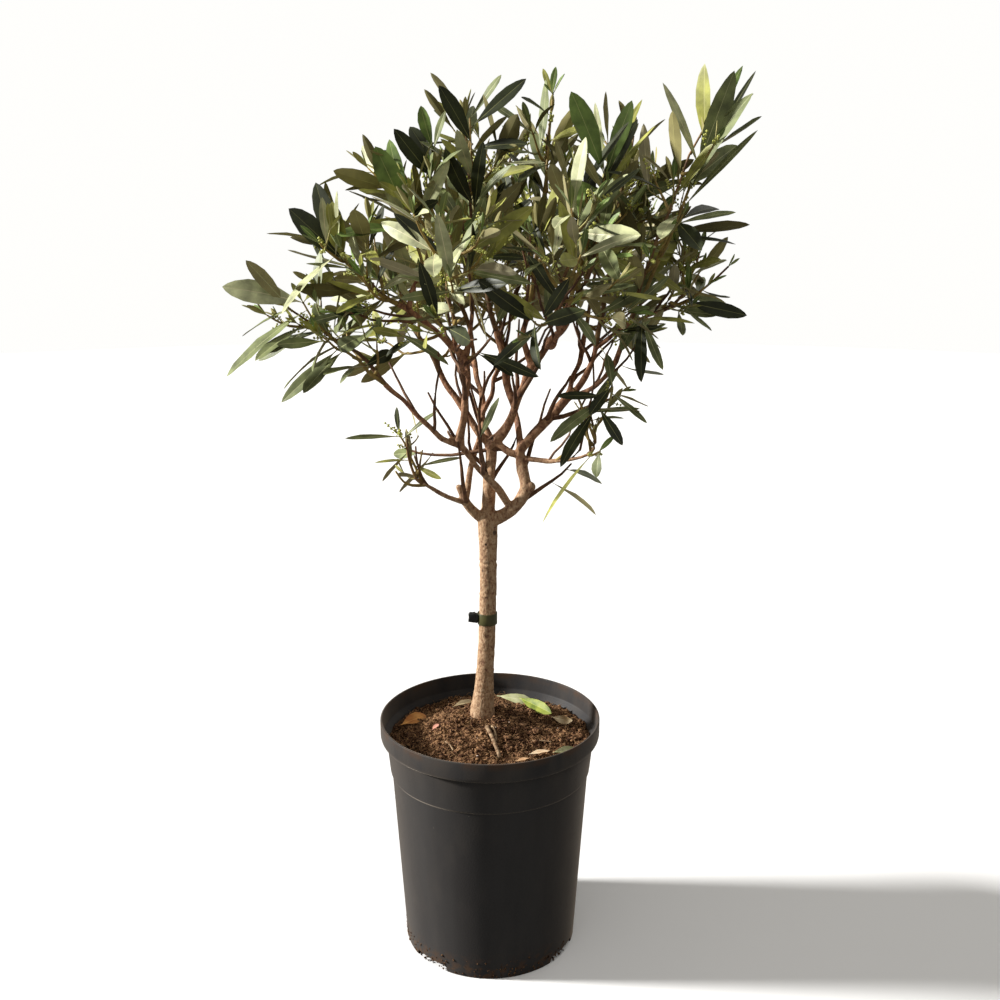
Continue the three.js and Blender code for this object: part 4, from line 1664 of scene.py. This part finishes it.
CREST = Spray("pruned_stem", 1, Sight(555, 92, 4), 2.2, 1, (
    Single(1, Sight(558, 64, 0), 6, FRESH),
    Single(1, Sight(545, 66, 6), 5, OLIVE),
    Single(1, Sight(567, 71, 0), 6, FRESH),
    Single(1, Sight(546, 82, -10), 5, FRESH),
    Single(0.9, Sight(522, 98, -20), 8, DARK),
    Single(0.8, Sight(590, 128, -20), 10, OLIVE),
    Single(0.7, Sight(520, 185, -60), 13, DARK),
))
FRESH_CREST = Spray("centre_right_arm", 1, Sight(606, 176, -44), 2.2, 2, (
    Single(1, Sight(572, 90, -60), 19, FRESH),
    Single(1, Sight(633, 99, -30), 14, FRESH),
    Single(1, Sight(596, 101, -30), 6, PALE),
    Single(0.95, Sight(643, 98, -20), 7, OLIVE),
    Single(0.92, Sight(560, 188, -60), 13, FRESH),
    Single(0.85, Sight(640, 118, -30), 11, DARK),
    Single(0.8, Sight(658, 124, -50), 9, OLIVE),
    Single(0.75, Sight(560, 240, -80), 12, DARK),
    Single(0.7, Sight(631, 173, -90), 17, PALE),
))
SPIRE = Spray("golden_twig", 1, Sight(707, 149, -46), 2, 1, (
    Single(1, Sight(705, 61, -50), 15, OLIVE),
    Single(0.96, Sight(757, 68, -40), 5, DARK),
    Single(0.95, Sight(744, 63, -50), 9, FRESH),
    Single(0.92, Sight(664, 81, -56), 8, PALE),
    Single(0.75, Sight(753, 93, -64), 19, GREY),
    Single(0.7, Sight(758, 130, -60), 7, GREY),
    Single(0.66, Sight(661, 240, -80), 15, PALE),
    Single(0.62, Sight(702, 252, -80), 15, DARK),
    Single(0.6, Sight(736, 214, -40), 8, GREY),
    Single(0.5, Sight(735, 246, -40), 9, DARK),
    Single(0.4, Sight(666, 262, -70), 10, OLIVE),
))
HANGING = Spray("right_reach", 0.6, Sight(641, 318, -50), 1.6, 1, (
    Single(1, Sight(640, 383, -60), 12, DARK),
    Single(0.95, Sight(661, 370, -50), 8, GREY),
    Single(0.8, Sight(692, 323, -40), 8, OLIVE),
    Single(0.6, Sight(620, 352, -60), 12, GREY),
))
SKIRT = Spray("low_right_twig", 0.55, Sight(612, 388, -36), 1.8, 1, (
    Single(1, Sight(590, 417, -50), 11, DARK),
    Single(1, Sight(607, 356, -30), 9, GREY),
    Single(0.95, Sight(647, 424, -40), 6, GREY),
    Single(0.9, Sight(556, 396, -60), 9, DARK),
    Single(0.85, Sight(549, 441, -60), 13, GREY),
    Single(0.75, Sight(622, 446, -50), 10, DARK),
    Single(0.7, Sight(561, 469, -60), 13, DARK),
))
LOW_HOOK = Spray("low_right_twig", 1, Sight(598, 452, -30), 1.7, 1, (
    Single(1, Sight(595, 478, -40), 11, GREY),
    Single(0.9, Sight(612, 436, -30), 5, FRESH),
    Single(0.4, Sight(540, 521, -50), 8, OLIVE),
))
LEFT_SPRIG = Spray("left_twig", 1, Sight(401, 436, -12), 1.5, 3, (
    Single(1, Sight(398, 407, -14), 6, DARK),
    Single(0.97, Sight(346, 439, -30), 6, GREY),
    Single(0.9, Sight(438, 412, -10), 5, GREY),
    Single(0.5, Sight(375, 461, -20), 4, OLIVE),
    Single(0.4, Sight(442, 477, -20), 6, OLIVE),
    Single(0.35, Sight(463, 456, 0), 4, GREY),
))
BARE_TWIG = Spray("left_twig", 0.94, Sight(393, 470, -12), 1.8, 0)
INNER = Spray("front_riser", 0.96, Sight(478, 352, -40), 1.6, 0, (
    Single(1, Sight(539, 377, -60), 10, DARK),
    Single(0.8, Sight(514, 376, -30), 9, DARK),
))
INNER_LEFT = Spray("upper_left_bough", 0.45, Sight(398, 334, -50), 1.6, 1, (
    Single(1, Sight(449, 366, -70), 11, GREY),
    Single(0.8, Sight(372, 330, -60), 8, OLIVE),
    Single(0.6, Sight(386, 356, -40), 12, DARK),
))
SPRAYS = (
    FAR_LEFT, UPPER_LEFT, LEFT_TOP, LEFT_CREST, TALL_LEFT, CREST, FRESH_CREST, SPIRE,
    HANGING, SKIRT, LOW_HOOK, LEFT_SPRIG, BARE_TWIG, INNER, INNER_LEFT,
)


@dataclass
class Shoot:
    """A twig of the crown with its leaves."""

    line: Bow
    foot: float
    end: float
    leaves: list[Leaf]
    order: int


@dataclass
class Crown:
    """Every mass of foliage: its stem and side shoots by the frame's rule, and the finer growth on them."""

    wood: Wood
    step: float = 14
    stagger: float = 0.02
    shoot_foot: float = 1.7
    shoot_end: float = 0.7
    steps: int = 2
    gap: float = 0.3
    over: float = 18
    slim: float = 0.84
    inner_step: float = 36
    heart: Point = (5, 0, 535)
    heart_size: Point = (100, 190, 84)
    heart_open: float = 0.96
    leaf_lean: Pair = (0.75, 1.2)
    leaf_slim: Pair = (0.2, 0.29)
    shoot_lean: Pair = (0.6, 1.05)
    finer_lean: Pair = (0.5, 0.9)
    inner_lean: Pair = (0.5, 1.05)
    inner_length: Pair = (40, 98)
    inner_open: float = 0.3
    flower_share: float = 0.45
    facing: Point = (-0.3, -0.75, 0.6)
    spray_seed: int = 5
    finer_seed: int = 500
    inner_seed: int = 700
    dress_seed: int = 900
    inner_dress_seed: int = 977
    shape: LeafShape = field(default_factory=LeafShape)
    shoots: list[Shoot] = field(default_factory=list)
    sprays: dict[Tone, list[Leaf]] = field(default_factory=lambda: {tone: [] for tone in Tone})
    buds: list[tuple[Vector, float]] = field(default_factory=list)
    knots: list[tuple[Vector, float]] = field(default_factory=list)
    stalks: list[Tube] = field(default_factory=list)

    def __post_init__(self) -> None:
        """Notes where the wood is."""
        self.limbs = self.wood_points()

    def grow_leaf(
        self, mass: Mass, root: Vector, direction: Vector, turn: float, tip: float, random: Seeded
    ) -> Leaf:
        """Returns one leaf of a twig.

        Args:
            mass: the mass that it belongs to.
            root: where it leaves the twig.
            direction: the twig's direction there.
            turn: the angle round the twig.
            tip: how near the twig's tip it is, from 0 to 1.
            random: the mass's run of random numbers.
        """
        lean = random.between(*self.leaf_lean) * (1 - 0.45 * tip)
        axis = swung(direction, lean, turn)
        axis.z -= mass.droop * random.between(0.6, 1.4)
        axis.normalize()
        normal = (direction - axis * direction.dot(axis)).normalized()
        normal.rotate(Matrix.Rotation(random.between(-0.6, 0.6), 3, axis))
        size = 1 - 0.25 * abs(tip - 0.4) - 0.35 * max(0, tip - 0.7)
        length = mass.leaf * size * random.between(0.82, 1.18)
        width = length * random.between(*self.leaf_slim)
        curl = random.between(-0.12, 0.2)
        return Leaf(root, axis, normal, length, width * self.slim, curl)

    def grow_leaves(self, mass: Mass, line: Bow, start: float, random: Seeded) -> list[Leaf]:
        """Returns a twig's leaves, in opposite pairs, each pair a quarter turn on from the last."""
        pairs = max(2, math.floor(line.length() * (1 - start) / self.step + 0.5))
        turn = random.between(0, math.pi)
        leaves = []
        for pair in range(pairs):
            tip = (pair + 0.6) / pairs
            turn += math.pi / 2 + random.between(-0.25, 0.25)
            for half in (0, 1):
                at = start + (1 - start) * min(0.98, tip + half * self.stagger)
                root = line.run_point(at, self.steps)
                side = turn + half * math.pi
                leaves.append(self.grow_leaf(mass, root, line.tangent(at), side, tip, random))
        return leaves

    def grow_mass(self, mass: Mass) -> list[Shoot]:
        """Returns the stem and the side shoots of a mass."""
        random = Seeded(mass.seed)
        bough = self.wood.lines[mass.on]
        along = bough.tangent(1)
        start = bough.point(1) + along * self.gap
        reach = Vector(mass.reach)
        stem = Bow(start, start + along * 0.4 * (reach - start).length, reach)
        leaves = self.grow_leaves(mass, stem, 0.12, random)
        shoots = [Shoot(stem, self.wood.ends[mass.on] * 0.95, 0.8, leaves, 0)]
        for i in range(mass.shoots):
            at = 0.04 + 0.82 * (i + 0.5) / mass.shoots
            lean = random.between(*self.shoot_lean)
            turn = i * GOLDEN + random.between(-0.5, 0.5)
            length = mass.spread * random.between(0.75, 1.2) * (1 - 0.3 * at)
            root = stem.run_point(at, self.steps)
            tip = root + swung(stem.tangent(at), lean, turn + mass.seed) * length
            tip.z += (0.5 * at - 0.15) * length
            line = Bow.between(root, tip, Vector((0, 0, -0.12 * length)))
            leaves = self.grow_leaves(mass, line, 0.25, random)
            shoots.append(Shoot(line, self.shoot_foot, self.shoot_end, leaves, 1))
        return shoots

    def grow_finer(self, mass: Mass, shoots: list[Shoot]) -> list[Shoot]:
        """Returns the fine side twigs that stand on a mass's shoots."""
        random = Seeded(mass.seed + self.finer_seed)
        finer = []
        for shoot in shoots:
            for _ in range(2 if shoot.order == 0 else 1):
                at = random.between(0.2, 0.85)
                root = shoot.line.point(at)
                lean, turn = random.between(*self.finer_lean), random.between(0, math.tau)
                heading = swung(shoot.line.tangent(at), lean, turn)
                length = mass.spread * random.between(0.3, 0.55)
                tip = root + heading * length + Vector((0, 0, 0.15 * length))
                line = Bow.between(root, tip, Vector((0, 0, -0.1 * length)))
                small = Mass(mass.name, mass.on, mass.reach, 0, 0, mass.leaf * 0.72, mass.droop, 0)
                leaves = self.grow_leaves(small, line, 0.3, random)
                finer.append(Shoot(line, 1.0, 0.5, leaves, 2))
        return finer

    def grow_inner(self) -> list[Shoot]:
        """Returns the thin twigs that stand on the boughs under the crown, most of them nearly bare."""
        twigs = []
        for number, bough in enumerate(BOUGHS):
            random = Seeded(self.inner_seed + number)
            line = self.wood.lines[bough.name]
            for i in range(max(1, round(line.length() / self.inner_step))):
                at = random.between(0.3, 0.98)
                lean, turn = random.between(*self.inner_lean), random.between(0, math.tau)
                heading = (swung(line.tangent(at), lean, turn) + Vector((0, 0, 0.4))).normalized()
                length = random.between(*self.inner_length)
                start = line.point(at)
                tip = start + heading * length
                bow = Vector((random.between(-5, 5), random.between(-5, 5), -0.06 * length))
                twig = Bow.between(start, tip, bow)
                mass = Mass(bough.name, bough.name, bough.tip, 0, 0, 52, 0.35, 0)
                leaves = self.grow_leaves(mass, twig, 0.45, random)
                leaves = [leaf for leaf in leaves if random.next() < 0.5]
                twigs.append(Shoot(twig, min(2.7, 0.72 * bough.end), 0.9, leaves, 3))
        return twigs

    def centres(self) -> list[Vector]:
        """Returns the centre of each mass's own space."""
        tips = {bough.name: Vector(bough.tip) for bough in BOUGHS}
        return [tips[mass.on].lerp(Vector(mass.reach), 0.6) for mass in MASSES]

    def grow(self) -> None:
        """Grows the whole crown, spray by spray."""
        centres = self.centres()
        for index, mass in enumerate(MASSES):
            shoots = self.grow_mass(mass)
            shoots += self.grow_finer(mass, shoots)
            others = centres[:index] + centres[index + 1 :]
            random = Seeded(mass.seed + self.dress_seed)
            self.dress(shoots, mass.open, random, centres[index], others, mass.tone)
        random = Seeded(self.inner_dress_seed)
        self.dress(self.grow_inner(), self.inner_open, random, Vector(MIDDLE), [], GREY)
        self.grow_sprays()

    def grow_sprays(self) -> None:
        """Grows the sprays that stand out of the crown, leaf by leaf."""
        random = Seeded(self.spray_seed)
        for spray in SPRAYS:
            start = self.wood.lines[spray.on].point(spray.at)
            bow = Vector((random.between(-3, 3), random.between(-3, 3), random.between(-6, 2)))
            line = Bow.between(start, VIEW.place(spray.tip), bow)
            self.shoots.append(Shoot(line, spray.foot, 0.8, [], 1))
            for single in spray.leaves:
                self.sprays[single.tone].append(self.aimed(single, line, random))
                self.knots.append((line.point(single.at), 1.1))
            for _ in range(spray.panicles):
                self.add_panicles(line, random.between(0.4, 1), random)

    def aimed(self, single: Single, line: Bow, random: Seeded) -> Leaf:
        """Returns a leaf that runs from its shoot to the place of its tip.

        Args:
            single: the leaf.
            line: its shoot's line.
            random: the run of random numbers to use.
        """
        root = line.point(single.at)
        tip = VIEW.place(single.tip)
        chord = (tip - root).normalized()
        facing = Vector(self.facing)
        face = (facing - chord * facing.dot(chord)).normalized()
        face.rotate(Matrix.Rotation(random.between(-0.45, 0.45), 3, chord))
        arch = random.between(0.05, 0.3)
        bend = math.atan(arch)
        axis = chord * math.cos(bend) + face * math.sin(bend)
        normal = face * math.cos(bend) - chord * math.sin(bend)
        length = (tip - root).length * math.cos(bend)
        fold, twist = random.between(0.1, 0.35), random.between(-0.5, 0.5)
        belly = random.between(1, 1.3)
        return Leaf(root, axis, normal, length, single.width, arch, fold, twist, belly)

    def in_heart(self, place: Vector) -> bool:
        """Returns whether a place is in the bare heart of the crown, under its leaves."""
        shares = (abs(place[i] - self.heart[i]) / self.heart_size[i] for i in range(3))
        return sum(share**3 for share in shares) < 1

    def dress(
        self,
        shoots: Sequence[Shoot],
        fallen_share: float,
        random: Seeded,
        centre: Vector,
        others: Sequence[Vector],
        own_tone: Tone | None = None,
    ) -> None:
        """Keeps the leaves that find room, gives each its tone, and adds tips and flower buds.

        Args:
            shoots: the shoots of one mass.
            fallen_share: the share of its leaves that have fallen.
            random: the run of random numbers to use.
            centre: the centre of the mass's own space.
            others: the centres of the other masses.
            own_tone: the tone of all the sprays, where they have one.
        """
        for shoot in shoots:
            tone = self.deal_tone(random)
            for leaf in shoot.leaves:
                leaf.fold = random.between(0.05, 0.45)
                leaf.twist = random.between(-0.7, 0.7)
                leaf.belly = random.between(0.75, 1.35)
                leaf.curl += random.between(-0.1, 0.14)
                odd = random.next()
                lot = random.next()
                self.knots.append((leaf.root, 0.85 if shoot.order else 1.3))
                middle = leaf.root + leaf.axis * leaf.length * 0.6
                own = (middle - centre).length - self.over
                crowded = any((middle - other).length <= own for other in others)
                fallen = lot < (self.heart_open if self.in_heart(middle) else fallen_share)
                if not (fallen or crowded or self.hits(leaf)) and self.within(leaf):
                    self.sprays[own_tone or self.odd_tone(tone, odd)].append(leaf)
            self.shoots.append(shoot)
            if not self.in_heart(shoot.line.end):
                self.grow_tip(shoot, random)
                self.grow_flowers(shoot, random)

    @staticmethod
    def deal_tone(random: Seeded) -> Tone:
        """Returns the tone of a whole spray."""
        share = random.next()
        for limit, tone in ((0.28, DARK), (0.62, GREY), (0.86, OLIVE), (0.9, FRESH)):
            if share < limit:
                return tone
        # The sprays left over get the pale tone of painted backlight.
        return PALE

    @staticmethod
    def odd_tone(tone: Tone, odd: float) -> Tone:
        """Returns the spray's tone, or now and then that of an odd leaf in it."""
        # Now and then an odd leaf gets the pale tone of painted backlight.
        for limit, other in ((0.1, OLIVE), (0.14, PALE), (0.24, DARK), (0.32, GREY)):
            if odd < limit:
                return other
        return tone

    def wood_points(self) -> tuple[np.ndarray, np.ndarray]:
        """Returns points along every limb, and how near to each a leaf may come."""
        places, radii = [], []
        for name, line in self.wood.lines.items():
            for step in range(15):
                places.append(line.point(step / 14))
                radii.append(max(self.wood.ends[name], 3.0) + 1.0)
        return np.array(places), np.array(radii)

    def hits(self, leaf: Leaf) -> bool:
        """Returns whether a leaf's blade runs into a limb."""
        points, radii = self.limbs
        for share in (0.35, 0.65, 0.92):
            place = np.array(leaf.root + leaf.axis * leaf.length * share)
            if (np.linalg.norm(points - place, axis=1) < radii).any():
                return True
        return False

    @staticmethod
    def within(leaf: Leaf) -> bool:
        """Returns whether a leaf's tip stays inside the frame's box, and a little over."""
        tip = leaf.root + leaf.axis * leaf.length - leaf.normal * leaf.curl * leaf.length
        limits = zip(CAD_BOX[0], tip, CAD_BOX[1])
        return all(low / MM - OVERHANG < place < high / MM + OVERHANG for low, place, high in limits)

    def grow_tip(self, shoot: Shoot, random: Seeded) -> None:
        """Adds the pairs of young leaves at the end of a shoot."""
        along = shoot.line.tangent(1)
        turn = random.between(0, math.tau)
        for half in range(2 + 2 * (random.next() < 0.4)):
            lean = random.between(0.15, 0.5)
            axis = swung(along, lean, turn + half * math.pi / 2)
            normal = (along - axis * along.dot(axis)).normalized()
            length = random.between(10, 26)
            curl = random.between(-0.1, 0.1)
            leaf = Leaf(shoot.line.end.copy(), axis, normal, length, length * 0.24, curl, 0.4)
            self.sprays[OLIVE if random.next() < 0.55 else FRESH].append(leaf)

    def grow_flowers(self, shoot: Shoot, random: Seeded) -> None:
        """Adds bud stalks to a shoot now and then."""
        if random.next() < self.flower_share:
            self.add_panicles(shoot.line, random.between(0.45, 0.95), random)

    def add_panicles(self, line: Bow, at: float, random: Seeded) -> None:
        """Adds the pair of bud stalks that stand in a pair of leaf joints."""
        for side in (0, math.pi):
            heading = swung(line.tangent(at), random.between(0.5, 0.8), side + at * 7)
            root = line.point(at)
            length = random.between(8, 20)
            stalk = Bow.between(root, root + heading * length, Vector((0, 0, 0.04 * length)))
            self.stalks.append(Tube(stalk, 0.5, 0.25))
            for step in range(4):
                share = 0.34 + 0.22 * step
                for turn in (0, 2.1, 4.2):
                    out = swung(stalk.tangent(share), 1.0, turn + step)
                    reach = random.between(1.2, 3.0) * (1.25 - share)
                    self.buds.append((stalk.point(share) + out * reach, random.between(0.65, 1.15)))

    def build(self) -> None:
        """Makes the leaves, twigs, joints and buds as joined pieces."""
        nodes = [f"foliage_{mass.name}" for mass in MASSES]
        for tone, leaves in self.sprays.items():
            mesh = self.shape.template.joined(self.shape.places(leaves))
            settle(mesh, f"leaves_{tone.word}", tone.materials(), nodes)
            log.info("%d %s leaves", len(leaves), tone.word)
        self.build_twigs()
        self.build_balls("leaf_joints", self.knots, Plain("leaf_joint", "#6d5a3a", "#8d8150", 200))
        self.build_balls("flower_buds", self.buds, Plain("flower_bud", "#a2a83c", "#cfcf7a", 260, 0.55))
        stalks = Plain("bud_stalk", "#7f8340", "#a3a45c", 200)
        settle(Tube.joined(self.stalks, 4, 2), "bud_stalks", [stalks.make()])

    def build_twigs(self) -> None:
        """Makes the stems and shoots."""
        groups = (
            ("crown_stems", 0, 8, 8, Plain("stem_bark", "#5c412b", "#8f6f48", 130, 0.7)),
            ("side_shoots", 1, 6, 6, Plain("shoot_bark", "#7a6233", "#a8914f", 150, 0.65)),
            ("fine_twigs", 2, 5, 4, Plain("young_bark", "#8a8448", "#aea56a", 150, 0.6)),
            ("inner_twigs", 3, 6, 6, Plain("twig_bark", "#4b3121", "#7a573a", 150, 0.75)),
        )
        for name, order, sides, steps, finish in groups:
            shoots = [shoot for shoot in self.shoots if shoot.order == order]
            tubes = [Tube(shoot.line, shoot.foot, shoot.end) for shoot in shoots]
            settle(Tube.joined(tubes, sides, steps), name, [finish.make()])

    @staticmethod
    def build_balls(name: str, balls: Sequence[tuple[Vector, float]], finish: Plain) -> None:
        """Makes many small knobs as one piece."""
        points = np.array([LUMP_POINTS * radius + np.array(wandered(place)) for place, radius in balls])
        settle(LUMP.joined(points), name, [finish.make()])


# ---- studio ----


@dataclass
class Studio:
    """The plain pale floor, the soft lights and the camera."""

    floor_radius: float = 6000
    pale: Hex = "#f6f6f6"
    bounce: Hex = "#82807d"
    ambient: float = 0.22
    seen: float = 1.0
    ambient_colour: tuple[float, ...] = (1, 0.96, 0.88, 1)
    seen_colour: tuple[float, ...] = (1, 0.995, 0.975, 1)
    lights: tuple[tuple[str, Point, float, float], ...] = (
        ("key", (-0.97, 0.03, 0.42), 7.4, 7),
        ("overhead", (0.1, -0.5, 1), 0.7, 60),
        ("rear", (0.7, 0.8, 0.5), 0.32, 40),
    )

    def build(self) -> None:
        """Makes the studio."""
        self.build_camera()
        self.build_floor()
        self.build_lights()

    def build_camera(self) -> None:
        """Makes the camera, which looks along +Y and a little down."""
        lens = bpy.data.cameras.new("camera")
        lens.lens = VIEW.lens
        lens.sensor_width = VIEW.film
        lens.clip_end = 50
        camera = linked("camera", lens)
        camera.location = Vector(VIEW.eye) * MM
        camera.rotation_euler = (math.radians(90 - VIEW.pitch), 0, 0)
        bpy.context.scene.camera = camera

    def build_floor(self) -> None:
        """Makes the floor, a wide pale disc under the pot that throws only a little light back up."""
        shape = bmesh.new()
        bmesh.ops.create_circle(shape, cap_ends=True, segments=96, radius=self.floor_radius)
        mesh = mesh_of(shape, smooth=False)
        shader = Shader("floor_card", 0.9, 0.2)
        card = shader.ramp(shader.noise(3, 3), [(0.3, self.pale), (0.7, lighter(self.pale, 1.01))])
        ray = shader.tree.nodes.new("ShaderNodeLightPath").outputs["Is Camera Ray"]
        shader.colour(shader.mixed(ray, self.bounce, card))
        mesh.materials.append(shader.material)
        linked("floor", mesh)

    def build_lights(self) -> None:
        """Makes the pale surroundings and three soft lights."""
        scene = bpy.context.scene
        scene.view_settings.view_transform = "Standard"
        world = bpy.data.worlds.new("surroundings")
        world.use_nodes = True
        tree = world.node_tree
        seen = preset(tree.nodes["Background"], {"Strength": self.seen, "Color": self.seen_colour})
        light = tree.nodes.new("ShaderNodeBackground")
        preset(light, {"Strength": self.ambient, "Color": self.ambient_colour})
        ray = tree.nodes.new("ShaderNodeLightPath")
        mix = tree.nodes.new("ShaderNodeMixShader")
        tree.links.new(ray.outputs["Is Camera Ray"], mix.inputs["Fac"])
        tree.links.new(light.outputs["Background"], mix.inputs[1])
        tree.links.new(seen.outputs["Background"], mix.inputs[2])
        tree.links.new(mix.outputs["Shader"], tree.nodes["World Output"].inputs["Surface"])
        scene.world = world
        for name, toward, power, softness in self.lights:
            self.add_light(name, toward, power, softness)

    @staticmethod
    def add_light(name: str, toward: Point, power: float, softness: float) -> None:
        """Adds a soft distant light.

        Args:
            name: the light's name.
            toward: the direction in which it stands.
            power: its strength.
            softness: how wide it looks, in degrees.
        """
        lamp = bpy.data.lights.new(name, "SUN")
        lamp.energy = power
        lamp.angle = math.radians(softness)
        lamp.color = (1, 0.985, 0.96)
        light = linked(name, lamp)
        light.rotation_euler = Vector(toward).to_track_quat("Z", "Y").to_euler()


def main() -> None:
    """Builds the plant, part by part, and the studio round it."""
    logging.basicConfig(level=logging.INFO, format="%(message)s")
    Studio().build()
    pot = Pot()
    pot.build()
    soil = Soil(pot)
    soil.build()
    wood = Wood(soil)
    wood.grow()
    wood.build()
    Tie(wood).build()
    crown = Crown(wood)
    crown.grow()
    crown.build()


if __name__ == "__main__":
    main()
